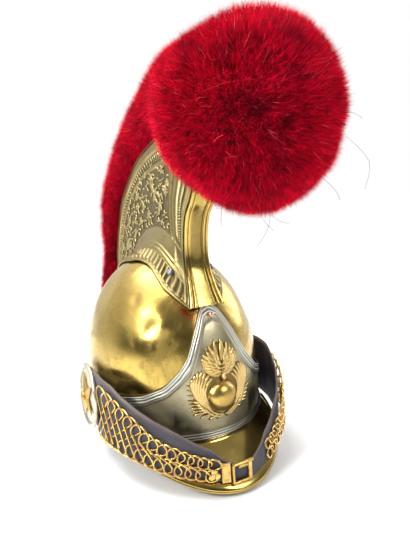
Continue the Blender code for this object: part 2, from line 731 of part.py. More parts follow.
def strap_plan(turn):
    """Inner face of the strap seen from above, turn from 0 at the front to a right angle."""
    side = abs(sin(turn)) * STRAP_HALF_WIDTH
    rear = max(0.0, (abs(turn) / radians(90) - 0.78) / 0.22)
    tucked = side - STRAP_TUCK * rear * rear * (3 - 2 * rear)
    bulge = STRAP_FRONT_BULGE * 2.0 ** (-(side / STRAP_BULGE_HALF_WIDTH) ** 2)
    ahead = STRAP_MIDDLE_Y - STRAP_REACH * max(cos(turn), 0.0) ** STRAP_EXPONENT - bulge
    return Vector((tucked if turn >= 0 else -tucked, ahead, 0.0))


def strap_point(turn, height, stand_off):
    """Point off the strap's inner face at a turn and a height."""
    step = radians(0.8)
    limit = radians(90)
    there = strap_plan(min(turn + step, limit)) - strap_plan(max(turn - step, -limit))
    outward = Vector((there.y, -there.x, 0.0)).normalized()
    return strap_plan(turn) + outward * stand_off + Vector((0.0, 0.0, height))


def strap_height(rows, turn, full):
    """Height read from a table of the strap's edges."""
    return full * table(rows, abs(turn) / radians(90))


def strap_foot(turn):
    """Lower edge of the strap, which rests on the visor where it passes over it."""
    foot = strap_height(STRAP_FOOT, turn, STRAP_REAR_FOOT_Z)
    inner = strap_plan(turn)
    return max(foot, visor_height(inner.x, inner.y) + GAP + SEAT)


def make_straps():
    """Leather strap from each rosette round to the buckle."""
    spans = (("strap_right", radians(-90), STRAP_MEETING_TURN - GAP / STRAP_HALF_WIDTH),
             ("strap_left", STRAP_MEETING_TURN, radians(90)))
    for name, start, end in spans:
        def place(across, up):
            turn = start + (end - start) * across
            foot = strap_foot(turn)
            top = strap_height(STRAP_TOP, turn, STRAP_REAR_TOP_Z)
            return strap_point(turn, foot + (top - foot) * up, STRAP_LEATHER)

        strap = add_object(name, grid(STRAP_STEPS, 2, place), "leather", LEATHER, 0.0, 0.5)
        thicken(strap, STRAP_LEATHER)


def chain_surface(turn, up):
    """Middle of the chain's wires: up from its lower loops to its upper loops.

    The left chain hangs higher and a little off the strap between its ends.
    """
    share = (turn - CHAIN_FRONT_LEFT) / (CHAIN_REAR_TURN - CHAIN_FRONT_LEFT)
    slack = max(0.0, sin(pi * min(1.0, max(0.0, share))) - CHAIN_SEATED_SHARE) / (1 - CHAIN_SEATED_SHARE)
    foot = strap_foot(turn) + CHAIN_WIRE + CHAIN_LEFT_RISE * slack
    top = strap_height(CHAIN_TOP, turn, STRAP_REAR_TOP_Z) + CHAIN_LEFT_RISE * slack
    off = STRAP_LEATHER + GAP + CHAIN_LIFT + CHAIN_WIRE / 2 + CHAIN_LEFT_BOW * slack
    return strap_point(turn, foot + (top - foot) * up, off)


def make_chains():
    """Chain of interlaced figure-eight links on each side, pierced between its wires."""
    spans = (("chain_right", -CHAIN_REAR_TURN, CHAIN_FRONT_RIGHT),
             ("chain_left", CHAIN_FRONT_LEFT, CHAIN_REAR_TURN))
    for name, start, end in spans:
        def place(across, up):
            lean = 0.5 / CHAIN_LINKS if up == 0.5 else 0.0
            share = across * (1 - 0.5 / CHAIN_LINKS) + lean
            return chain_surface(start + (end - start) * share, up)

        chain = add_object(name, grid(CHAIN_LINKS, 2, place), "gilt", GILT)
        wires = chain.modifiers.new("wires", "WIREFRAME")
        wires.thickness = CHAIN_WIRE
        wires.offset = 0.0
        wires.use_even_offset = False
        wires.use_boundary = True
        wires.use_replace = True


def band_on_strap(name, middle_turn, width, height, thickness, colour_name, colour):
    """Small upright plate bent along the strap's outer face."""
    half = width / 2 / (STRAP_REACH + STRAP_FRONT_BULGE) * STRAP_REACH / STRAP_HALF_WIDTH
    foot = strap_foot(middle_turn)

    def place(across, up):
        turn = middle_turn + (2 * across - 1) * half
        return strap_point(turn, foot + up * height, STRAP_LEATHER + GAP + thickness)

    thing = add_object(name, grid(2, 1, place), colour_name, colour)
    thicken(thing, thickness)
    return thing


def make_front_fittings():
    """End plate of the right chain, and the buckle frame with its roller and tongue."""
    end_turn = CHAIN_FRONT_RIGHT + (CHAIN_WIRE + END_PLATE_WIDTH / 2) / STRAP_HALF_WIDTH
    band_on_strap("chain_end_plate", end_turn, END_PLATE_WIDTH, BUCKLE_HEIGHT, END_PLATE_THICKNESS,
                  "gilt", GILT)
    middle = strap_point(BUCKLE_TURN, 0.0, STRAP_LEATHER + GAP + BUCKLE_BAR / 2)
    foot = strap_foot(BUCKLE_TURN)
    bm = bmesh.new()
    bmesh.ops.create_grid(bm, x_segments=2, y_segments=1, size=0.5)
    for vert in bm.verts:
        vert.co = Vector((vert.co.x * (BUCKLE_WIDTH - BUCKLE_BAR), 0.0,
                          vert.co.y * (BUCKLE_HEIGHT - BUCKLE_BAR)))
    buckle = add_object("buckle", bm, "gilt", GILT)
    buckle.location = middle + Vector((0.0, SET_BACK, foot + BUCKLE_HEIGHT / 2))
    buckle.rotation_euler = (0.0, 0.0, BUCKLE_TURN)
    bars = buckle.modifiers.new("bars", "WIREFRAME")
    bars.thickness = BUCKLE_BAR
    bars.offset = 0.0
    bars.use_even_offset = False
    bars.use_boundary = True
    bars.use_replace = True


def chenille_seat():
    """Line that the chenille follows: the comb's outer edge, then straight on down as a tail."""
    return comb_outline(COMB_EDGE + CHENILLE_TAIL)


def lock(index, ring):
    """Alternate corners stand out and in, so that the surface breaks into locks."""
    return LOCK_DEPTH if (index + ring) % 2 else -LOCK_DEPTH


def make_chenille():
    """Caterpillar of wool: a round head in front and a long body over the comb to its tail."""
    line = chenille_seat()

    def body(across, up):
        ring = round(up * CHENILLE_STEPS)
        end = min(1.0, ring / 2, (CHENILLE_STEPS - ring) / 3)
        girth = CHENILLE_RADIUS * table(CHENILLE_GIRTH, up)
        centre = strip_point(line, up, 0.0, girth * (1 - CHENILLE_SINK))
        inwards = strip_point(line, up, 0.0, 0.0)
        outward = (centre - inwards).normalized()
        around = across * 2 * pi
        width = girth * sqrt(max(0.0, 1 - (1 - end) ** 2))
        if 0.0 < end:
            width += lock(round(across * CHENILLE_SIDES) % CHENILLE_SIDES, ring)
        return centre + (outward * cos(around) + Vector((1.0, 0.0, 0.0)) * sin(around)) * width

    bm = grid(CHENILLE_SIDES, CHENILLE_STEPS, body, weld=True)
    bmesh.ops.recalc_face_normals(bm, faces=bm.faces)
    chenille = add_object("chenille", bm, "crimson", CRIMSON, 0.0, 0.9)

    ball = bmesh.new()
    bmesh.ops.create_uvsphere(ball, u_segments=16, v_segments=10, radius=1.0)
    for vert in ball.verts:
        share = vert.co.copy()
        ring = round(degrees(atan2(share.z, hypot(share.x, share.y))) / 18)
        side = round(degrees(atan2(share.y, share.x)) / 22.5)
        bump = lock(side, ring)
        vert.co = Vector((share.x * (BALL_HALF_WIDTH + bump), BALL_Y + share.y * (BALL_RADIUS + bump),
                          BALL_Z + share.z * (BALL_RISE + bump)))
    combine(chenille, add_cutter("chenille_ball", ball), "UNION")
    combine(chenille, add_cutter("comb_groove", comb_envelope()), "DIFFERENCE")


def comb_envelope():
    """Solid around the comb's outer edge that keeps the chenille clear of it."""
    front = comb_outline(COMB_FRONT)
    edge = comb_outline(COMB_EDGE + COMB_HEEL)
    lift = GAP + COMB_RELIEF + STRIP_WALL + GAP
    half_width = COMB_EDGE_HALF_WIDTH + COMB_RELIEF + GAP + GAP
    points = [strip_point(front, share, 0.0, lift + STRIP_BULGE) for share in COMB_ROWS[4:]]
    points += [strip_point(edge, spine_share(step / SPINE_STEPS), 0.0, lift) for step in range(SPINE_STEPS + 1)]
    inner = [comb_foot(share / 6) for share in range(6, -1, -1)]
    points += [Vector((0.0, point.y * 0.9, point.z)) for point in inner]
    bm = bmesh.new()
    verts = [bm.verts.new((-half_width, point.y, point.z)) for point in points]
    face = bm.faces.new(verts)
    raised = bmesh.ops.extrude_face_region(bm, geom=[face])
    moved = [item for item in raised["geom"] if isinstance(item, bmesh.types.BMVert)]
    bmesh.ops.translate(bm, verts=moved, vec=(2 * half_width, 0.0, 0.0))
    bmesh.ops.recalc_face_normals(bm, faces=bm.faces)
    return bm


def main():
    """Build the helmet from the skull outwards."""
    clear_scene()
    make_skull()
    make_front_plate()
    make_plate_rivet()
    make_grenade()
    make_comb_sides()
    make_comb_front()
    make_comb_spine()
    make_comb_screws()
    make_visor()
    make_visor_rim()
    make_neck_guard()
    make_straps()
    make_chains()
    make_front_fittings()
    make_rosettes()
    make_stars()
    make_chenille()


main()
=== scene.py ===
"""Looks of the carabinier helmet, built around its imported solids.

Brass skull, comb and visor, silvered front plate with a gilt grenade, leather chin strap under a
chain of figure-eight links, and a crimson chenille of dense wool. Units are metres, +Z is up and
the front looks along -Y. Shapes are worked out from the middle of the skull and set back at the end.
"""

import json
import logging
from collections.abc import Callable, Sequence
from dataclasses import dataclass
from enum import Enum
from math import cos, pi, radians, sin

import bmesh
import bpy
import numpy as np
from mathutils import Matrix, Vector

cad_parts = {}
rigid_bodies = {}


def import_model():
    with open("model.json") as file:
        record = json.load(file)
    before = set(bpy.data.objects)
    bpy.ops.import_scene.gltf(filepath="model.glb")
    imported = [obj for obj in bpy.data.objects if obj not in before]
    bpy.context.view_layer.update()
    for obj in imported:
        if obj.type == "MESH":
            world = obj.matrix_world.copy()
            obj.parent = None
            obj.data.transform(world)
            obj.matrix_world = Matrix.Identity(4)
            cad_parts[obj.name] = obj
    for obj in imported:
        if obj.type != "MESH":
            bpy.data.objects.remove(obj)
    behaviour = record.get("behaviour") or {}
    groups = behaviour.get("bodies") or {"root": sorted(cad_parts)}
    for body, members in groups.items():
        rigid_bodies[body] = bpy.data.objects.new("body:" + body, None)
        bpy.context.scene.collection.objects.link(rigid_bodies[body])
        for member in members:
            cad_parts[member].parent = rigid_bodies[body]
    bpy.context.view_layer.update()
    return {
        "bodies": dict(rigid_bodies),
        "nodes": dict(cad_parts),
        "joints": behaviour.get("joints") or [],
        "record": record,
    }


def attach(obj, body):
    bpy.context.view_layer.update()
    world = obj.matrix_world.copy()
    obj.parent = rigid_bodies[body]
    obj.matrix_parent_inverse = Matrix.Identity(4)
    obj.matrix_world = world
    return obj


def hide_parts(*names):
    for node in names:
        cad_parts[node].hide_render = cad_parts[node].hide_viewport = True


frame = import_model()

Array = np.ndarray
BMesh = bmesh.types.BMesh
Material = bpy.types.Material
Mesh = bpy.types.Mesh
Node = bpy.types.Node
Socket = bpy.types.NodeSocket
Tree = bpy.types.NodeTree
Flat = tuple[float, float]
Spot = tuple[float, float, float]
Colour = Spot
Outline = tuple[Flat, ...]
Ribs = tuple[Spot, ...]
Placing = Callable[[Array, Array], Array]
Mapping = Callable[[Array, Array, Array], Array]

SET_BACK = 0.0258
GAP = 0.0003
SEAT = 0.0011
RIM_THICKNESS = 0.0020
BODY = "root"

log = logging.getLogger("helmet")


class Side(Enum):
    """The wearer's side that a piece of a pair lies on."""

    RIGHT = -1
    LEFT = 1

    @property
    def label(self) -> str:
        """Its name, as pieces carry it."""
        return self.name.lower()


class Tip(Enum):
    """How a blade of pressed metal ends: width along its length, as shares."""

    POINTED = ((0.0, 0.50), (0.25, 0.92), (0.5, 1.0), (0.78, 0.62), (1.0, 0.04))
    ROUND = ((0.0, 0.45), (0.3, 0.78), (0.62, 1.0), (0.88, 0.85), (1.0, 0.10))
    EVEN = ((0.0, 0.70), (0.3, 1.0), (0.7, 1.0), (0.92, 0.75), (1.0, 0.15))


# Shapes and measures


def ridge(value: Array, middle: float, half: float) -> Array:
    """Rounded ridge.

    Args:
        value: Where to read it.
        middle: Place of its crest.
        half: Half of its width.

    Returns:
        1 on the crest and 0 outside its width.
    """
    return np.sqrt(np.clip(1.0 - ((value - middle) / half) ** 2, 0.0, 1.0))


def ridges(value: Array, rows: Sequence[Spot]) -> Array:
    """Ridges side by side, each given by its middle, its half width and its height."""
    return sum(height * ridge(value, middle, half) for middle, half, height in rows)


def ease(low: float, high: float, value: Array) -> Array:
    """Smooth step.

    Args:
        low: Value where the step starts.
        high: Value where it ends.
        value: Where to read it.

    Returns:
        0 before low, 1 after high and a smooth rise between them.
    """
    share = np.clip((value - low) / (high - low), 0.0, 1.0)
    return share * share * (3.0 - 2.0 * share)


def soft_table(rows: Sequence[tuple[float, ...]], share: Array, column: int = 1,
               reach: float = 0.02) -> Array:
    """Table of shares read with its corners rounded off.

    Args:
        rows: Rows whose first value is the share.
        share: Where to read it.
        column: Column to read.
        reach: How far each side the rounding looks.

    Returns:
        The value at each share.
    """
    keys = [row[0] for row in rows]
    values = [row[column] for row in rows]
    steps = (-1.0, -0.5, 0.0, 0.5, 1.0)
    return sum(np.interp(share + step * reach, keys, values) for step in steps) / len(steps)


def curve_through(points: Sequence[Sequence[float]], share: Array) -> Array:
    """Smooth curve through evenly counted points.

    Args:
        points: The points it passes through.
        share: Where to read it, from 0 to 1.

    Returns:
        One point for each share.
    """
    knots = np.asarray(points, float)
    last = len(knots) - 1
    place = np.clip(share, 0.0, 1.0) * last
    start = np.minimum(place.astype(int), last - 1)
    step = (place - start)[..., None]
    before, first = knots[np.maximum(start - 1, 0)], knots[start]
    second, after = knots[start + 1], knots[np.minimum(start + 2, last)]
    out, into = (second - before) / 2, (after - first) / 2
    square, cube = step * step, step ** 3
    return (first * (2 * cube - 3 * square + 1) + out * (cube - 2 * square + step)
            + second * (3 * square - 2 * cube) + into * (cube - square))


def unit(vectors: Array) -> Array:
    """Vectors brought to a length of 1."""
    return vectors / np.maximum(np.linalg.norm(vectors, axis=-1, keepdims=True), 1e-12)


def stacked(x: Array, y: Array, z: Array) -> Array:
    """Points from their three coordinates."""
    return np.stack(np.broadcast_arrays(x, y, z), axis=-1).astype(float)


def waviness(points: Array, size: float, seed: int) -> Array:
    """Gentle unevenness of hand-beaten metal.

    Args:
        points: Where to read it.
        size: Length of its waves.
        seed: Chooses the pattern.

    Returns:
        Values from about -1 to 1.
    """
    rng = np.random.default_rng(seed)
    total = np.zeros(points.shape[:-1])
    for _ in range(7):
        direction = unit(rng.normal(size=3)) * 2 * pi / size * rng.uniform(0.6, 1.5)
        total += np.sin(points @ direction + rng.uniform(0, 2 * pi))
    return total / 3.0


def lifted(place: Placing, across: Array, up: Array, height: Array,
           step: float = 0.004) -> Array:
    """Surface raised along its own normal.

    Args:
        place: The smooth surface.
        across: Shares across it.
        up: Shares up it.
        height: How far to raise each point.
        step: Share over which the slope is taken.

    Returns:
        The raised points.
    """
    there = place(np.minimum(across + step, 1), up) - place(np.maximum(across - step, 0), up)
    upward = place(across, np.minimum(up + step, 1)) - place(across, np.maximum(up - step, 0))
    normal = unit(np.cross(there, upward))
    return place(across, up) + normal * height[..., None]


# Meshes


def grid(columns: int, rows: int) -> BMesh:
    """Flat grid one metre wide."""
    bm = bmesh.new()
    bmesh.ops.create_grid(bm, x_segments=columns, y_segments=rows, size=0.5)
    return bm


def corners_of(bm: BMesh) -> Array:
    """Place of every corner."""
    return np.array([vert.co[:] for vert in bm.verts])


def add_ball(bm: BMesh, segments: int, rings: int, radius: float, place: Sequence[float],
             squash: Spot = (1.0, 1.0, 1.0)) -> None:
    """Add a ball, or a squashed one.

    Args:
        bm: Mesh to add it to.
        segments: Faces round it.
        rings: Faces from pole to pole.
        radius: Its radius.
        place: Its middle.
        squash: How much of its radius it keeps along each axis.
    """
    made = bmesh.ops.create_uvsphere(bm, u_segments=segments, v_segments=rings, radius=radius)["verts"]
    bmesh.ops.scale(bm, verts=made, vec=squash)
    bmesh.ops.translate(bm, verts=made, vec=place)


def into_scene(thing: bpy.types.Object) -> None:
    """Put an object in the scene."""
    bpy.context.scene.collection.objects.link(thing)


def sheet(columns: int, rows: int, place: Placing, recess: Placing | None = None,
          weld: bool = False, crest: Placing | None = None) -> BMesh:
    """Grid whose corners follow a surface.

    Args:
        columns: Faces across.
        rows: Faces up.
        place: Gives the points for shares across and up.
        recess: Gives how deep in dirt and painted shade each point lies, from 0 to 1.
        weld: Whether borders that meet are joined.
        crest: Gives how far handling has rubbed each point bright, with a painted highlight, from 0 to 1.

    Returns:
        The mesh, with recess and crest values on each corner.
    """
    bm = grid(columns, rows)
    corners = corners_of(bm)[:, :2] + 0.5
    across = np.round(corners[:, 0] * columns) / columns
    up = np.round(corners[:, 1] * rows) / rows
    layers = [bm.verts.layers.float.new(key) for key in ("recess", "crest")]
    marks = [mark(across, up).tolist() if mark else [0.0] * len(across) for mark in (recess, crest)]
    for vert, point, depth, height in zip(bm.verts, place(across, up).tolist(), *marks):
        vert.co = point
        vert[layers[0]] = depth
        vert[layers[1]] = height
    if weld:
        bmesh.ops.remove_doubles(bm, verts=bm.verts, dist=0.00002)
    return bm


def return_edge(bm: BMesh, middle: Vector, depth: float) -> None:
    """Turn the border of a sheet inwards, so that it shows a wall's thickness.

    Args:
        bm: The sheet.
        middle: Point that lies behind the sheet.
        depth: How far the border turns in.
    """
    bm.normal_update()
    inner = {vert.index: vert.normal.copy() for vert in bm.verts}
    border = [edge for edge in bm.edges if edge.is_boundary]
    sign = -1.0 if (border[0].verts[0].co - middle).dot(border[0].verts[0].normal) > 0 else 1.0
    sources = {}
    for edge in border:
        for vert in edge.verts:
            sources[tuple(vert.co)] = inner[vert.index]
    made = bmesh.ops.extrude_edge_only(bm, edges=border)
    for item in made["geom"]:
        if isinstance(item, bmesh.types.BMVert):
            item.co += sources[tuple(item.co)] * sign * depth


def face_out(bm: BMesh, mirrored: bool) -> None:
    """Turn the faces round where the mesh was mirrored."""
    if mirrored:
        bmesh.ops.reverse_faces(bm, faces=bm.faces)


def mesh_from(name: str, bm: BMesh) -> Mesh:
    """Mesh of a bmesh, which is then freed."""
    mesh = bpy.data.meshes.new(name)
    bm.to_mesh(mesh)
    bm.free()
    return mesh


def piece_from(name: str, mesh: Mesh, look: Material,
               nodes: Sequence[str] = (), sharp: float = 0.0) -> bpy.types.Object:
    """Put a finished mesh on the helmet.

    Args:
        name: Name of the piece.
        mesh: Its mesh, already in place.
        look: Its material.
        nodes: Solids that it stands for.
        sharp: Angle above which edges stay sharp, or 0 for none.

    Returns:
        The object.
    """
    mesh.materials.append(look)
    mesh.shade_smooth()
    if sharp:
        mesh.set_sharp_from_angle(angle=sharp)
    thing = bpy.data.objects.new(name, mesh)
    into_scene(thing)
    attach(thing, BODY)
    if nodes:
        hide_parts(*nodes)
    return thing


def piece(name: str, bm: BMesh, look: Material,
          nodes: Sequence[str] = (), wall: float = 0.0, sharp: float = 0.0) -> bpy.types.Object:
    """Set a bmesh back into the row frame and put it on the helmet.

    Args:
        name: Name of the piece.
        bm: Its mesh, around the middle of the skull.
        look: Its material.
        nodes: Solids that it stands for.
        wall: Thickness inwards from its faces, or 0 for none.
        sharp: Angle above which edges stay sharp, or 0 for none.

    Returns:
        The object.
    """
    bmesh.ops.translate(bm, verts=bm.verts, vec=(0.0, SET_BACK, 0.0))
    thing = piece_from(name, mesh_from(name, bm), look, nodes, sharp)
    if wall:
        solidify = thing.modifiers.new("wall", "SOLIDIFY")
        solidify.thickness = wall
        solidify.offset = -1.0
        solidify.use_even_offset = False
    return thing


def joined_copies(name: str, pattern: BMesh, places: Array,
                  values: dict[str, Array]) -> Mesh:
    """One mesh of many copies of a small pattern.

    Args:
        name: Name of the mesh.
        pattern: The pattern, whose corners keep their order.
        places: Point of each corner of each copy.
        values: Named values for each corner of each copy.

    Returns:
        The mesh in the row frame.
    """
    bmesh.ops.triangulate(pattern, faces=pattern.faces)
    pattern.verts.index_update()
    faces = np.array([[vert.index for vert in face.verts] for face in pattern.faces])
    count, size = places.shape[:2]
    pattern.free()
    corners = (faces[None] + (np.arange(count) * size)[:, None, None]).reshape(-1)
    points = places.reshape(-1, 3) + np.array((0.0, SET_BACK, 0.0))
    mesh = bpy.data.meshes.new(name)
    mesh.vertices.add(len(points))
    mesh.vertices.foreach_set("co", points.astype(np.float32).ravel())
    mesh.loops.add(len(corners))
    mesh.loops.foreach_set("vertex_index", corners.astype(np.int32))
    mesh.polygons.add(len(corners) // 3)
    mesh.polygons.foreach_set("loop_start", np.arange(0, len(corners), 3, dtype=np.int32))
    mesh.update(calc_edges=True)
    for key, numbers in values.items():
        layer = mesh.attributes.new(key, "FLOAT", "POINT")
        layer.data.foreach_set("value", numbers.reshape(-1).astype(np.float32))
    return mesh


@dataclass
class Blade:
    """One leaf, lobe or feather of pressed metal, laid out flat in metres.

    Its centre line bends from the root through the waist to the tip.
    """

    root: Flat
    waist: Flat
    tip: Flat
    width: float
    proud: float
    end: Tip = Tip.POINTED
    groove: float = 0.0


def straight_blade(root: Flat, tip: Flat, bow: float, width: float, proud: float,
                   end: Tip = Tip.POINTED, groove: float = 0.0) -> Blade:
    """Blade from a root to a tip that bows sideways.

    Args:
        root: Where it starts.
        tip: Where it ends.
        bow: Sideways bend as a share of its length.
        width: Half of its greatest width.
        proud: Height of its crest.
        end: Shape of its outline.
        groove: Depth of its middle groove as a share of its height.

    Returns:
        The blade.
    """
    middle = ((root[0] + tip[0]) / 2, (root[1] + tip[1]) / 2)
    aside = (-(tip[1] - root[1]) * bow, (tip[0] - root[0]) * bow)
    return Blade(root, (middle[0] + aside[0], middle[1] + aside[1]), tip, width, proud, end, groove)


def mirrored_blades(blades: Sequence[Blade]) -> list[Blade]:
    """The same blades on the other side of the middle line."""
    return [Blade((-b.root[0], b.root[1]), (-b.waist[0], b.waist[1]), (-b.tip[0], b.tip[1]), b.width,
                  b.proud, b.end, b.groove) for b in blades]


@dataclass(frozen=True)
class BladeWork:
    """Turns blades into closed, ridged leaves on a surface."""

    around: int = 8
    along: int = 10
    sink: float = 0.0006
    # Strength of the dirt and painted shade down the leaves' flanks
    stain: float = 1.0
    # Strength of the rubbed wear and painted highlight along the leaves' tops
    shine: float = 1.0

    def pattern(self) -> tuple[BMesh, Array, Array]:
        """Tube that each blade is bent from.

        Returns:
            The tube, and the share around and along of each of its corners.
        """
        bm = grid(self.around, self.along)
        for vert in bm.verts:
            turn = (vert.co.x + 0.5) * 2 * pi
            height = vert.co.y
            width = 0.5 if abs(height) < 0.499 else 0.0
            vert.co = (width * cos(turn), width * sin(turn), height)
        bmesh.ops.remove_doubles(bm, verts=bm.verts, dist=0.0001)
        bm.verts.index_update()
        spots = corners_of(bm)
        return bm, np.arctan2(spots[:, 1], spots[:, 0]), spots[:, 2] + 0.5

    def mesh(self, name: str, blades: Sequence[Blade], surface: Mapping,
             flip: bool = False) -> Mesh:
        """Mesh of all the blades.

        Args:
            name: Name of the mesh.
            blades: The blades, laid out flat.
            surface: Gives the point for flat places and a height.
            flip: Whether the surface mirrors the flat layout.

        Returns:
            The mesh in the row frame, with a recess value on each corner for dirt and painted shade, and a
            crest value for rubbing and a painted highlight.
        """
        bm, turn, along = self.pattern()
        face_out(bm, flip)
        root, waist, tip = (np.array([getattr(b, key) for b in blades])[:, None, :]
                            for key in ("root", "waist", "tip"))
        knee = 2 * waist - (root + tip) / 2
        step = along[None, :, None]
        line = root * (1 - step) ** 2 + knee * 2 * step * (1 - step) + tip * step ** 2
        ahead = unit((knee - root) * (1 - step) + (tip - knee) * step)
        aside = np.stack((-ahead[..., 1], ahead[..., 0]), axis=-1)
        outline = np.array([np.interp(along, *zip(*b.end.value)) for b in blades])
        half = np.array([b.width for b in blades])[:, None] * outline
        proud = np.array([b.proud for b in blades])[:, None]
        groove = np.array([b.groove for b in blades])[:, None]
        over, lateral = np.sin(turn)[None, :], np.cos(turn)[None, :]
        arch = np.where(over > 0, np.abs(over) ** 0.8, 0.0)
        arch = arch * (1 - groove * np.clip(1 - np.abs(lateral) * 2.2, 0, 1))
        height = proud * arch * (0.45 + 0.55 * outline) - self.sink * (over <= 0)
        spots = line + aside * (lateral * half)[..., None]
        points = surface(spots[..., 0], spots[..., 1], height)
        # Dirt and painted shade down each flank, rubbing and a painted highlight along the top
        recess = np.clip(1 - height / (proud * 0.62), 0, 1) ** 1.3 * self.stain
        crest = np.clip(arch * 1.6 - 0.7, 0, 1) * np.clip(outline * 1.3, 0, 1) * self.shine
        return joined_copies(name, bm, points, {"recess": recess, "crest": crest})


# Finishes


class NodeSketch:
    """Adds nodes to a tree and joins them."""

    def __init__(self, tree: Tree) -> None:
        """Start on an empty tree."""
        self.tree = tree
        self.count = 0

    def add(self, kind: str, **settings: object) -> Node:
        """Node of a kind with its settings.

        Args:
            kind: Type of the node, without its prefix.
            settings: Attributes to set on it.

        Returns:
            The node.
        """
        node = self.tree.nodes.new(kind)
        node.location = (180 * (self.count % 8), -220 * (self.count // 8))
        self.count += 1
        for key, value in settings.items():
            setattr(node, key, value)
        return node

    def feed(self, socket: Socket, value: object) -> None:
        """Link a socket to another, or set its value."""
        if isinstance(value, Socket):
            self.tree.links.new(value, socket)
        elif isinstance(value, tuple):
            socket.default_value = (*value, 1.0) if len(value) == 3 and socket.type == "RGBA" else value
        else:
            socket.default_value = value

    def math(self, operation: str, first: object, second: object = 0.0, clamp: bool = False
             ) -> Socket:
        """Result of a sum of two values."""
        node = self.add("ShaderNodeMath", operation=operation, use_clamp=clamp)
        self.feed(node.inputs[0], first)
        self.feed(node.inputs[1], second)
        return node.outputs[0]

    def mix(self, share: object, first: object, second: object, blend: str = "MIX"
            ) -> Socket:
        """Colour between two colours."""
        node = self.add("ShaderNodeMix", data_type="RGBA", blend_type=blend)
        self.feed(node.inputs[0], share)
        self.feed(node.inputs[6], first)
        self.feed(node.inputs[7], second)
        return node.outputs[2]

    def spread(self, value: object, low: float, high: float, to_low: float = 0.0,
               to_high: float = 1.0) -> Socket:
        """Value stretched smoothly from one range to another."""
        node = self.add("ShaderNodeMapRange", interpolation_type="SMOOTHSTEP")
        for socket, number in zip(node.inputs, (value, low, high, to_low, to_high)):
            self.feed(socket, number)
        return node.outputs[0]

    def noise(self, where: object, scale: object, detail: float = 4.0, rough: float = 0.55,
              twist: float = 0.0) -> Socket:
        """Noise at places, as a value."""
        node = self.add("ShaderNodeTexNoise")
        self.feed(node.inputs["Vector"], where)
        self.feed(node.inputs["Scale"], scale)
        node.inputs["Detail"].default_value = detail
        node.inputs["Roughness"].default_value = rough
        node.inputs["Distortion"].default_value = twist
        return node.outputs["Fac"]

    def stretched(self, where: object, scale: Spot,
                  turn: Spot = (0.0, 0.0, 0.0)) -> Socket:
        """Places turned and stretched along their axes."""
        node = self.add("ShaderNodeMapping")
        self.feed(node.inputs["Vector"], where)
        node.inputs["Scale"].default_value = scale
        node.inputs["Rotation"].default_value = turn
        return node.outputs["Vector"]

    def places(self) -> Socket:
        """Places in the piece's own mesh."""
        return self.add("ShaderNodeTexCoord").outputs["Object"]

    def attribute(self, name: str) -> Socket:
        """Value that the mesh's corners carry."""
        return self.add("ShaderNodeAttribute", attribute_name=name).outputs["Fac"]

    def grey(self, value: object) -> Socket:
        """Grey of a brightness."""
        node = self.add("ShaderNodeCombineColor")
        for socket in node.inputs:
            self.feed(socket, value)
        return node.outputs[0]

    def bump(self, height: object, strength: float, depth: float) -> Socket:
        """Normal of a surface with small heights on it."""
        node = self.add("ShaderNodeBump")
        node.inputs["Strength"].default_value = strength
        node.inputs["Distance"].default_value = depth
        self.feed(node.inputs["Height"], height)
        return node.outputs["Normal"]


def effect_group(name: str, inputs: dict[str, float], outputs: Sequence[str]
                 ) -> tuple[Tree, NodeSketch, Node, Node]:
    """Empty shader node group with named value sockets.

    Args:
        name: Name of the group.
        inputs: Names of its inputs with their values.
        outputs: Names of its outputs.

    Returns:
        The group, a sketch on it, and its input and output nodes.
    """
    tree = bpy.data.node_groups.new(name, "ShaderNodeTree")
    for key, value in inputs.items():
        socket = tree.interface.new_socket(name=key, in_out="INPUT", socket_type="NodeSocketFloat")
        socket.default_value = value
    for key in outputs:
        tree.interface.new_socket(name=key, in_out="OUTPUT", socket_type="NodeSocketFloat")
    sketch = NodeSketch(tree)
    return tree, sketch, sketch.add("NodeGroupInput"), sketch.add("NodeGroupOutput")


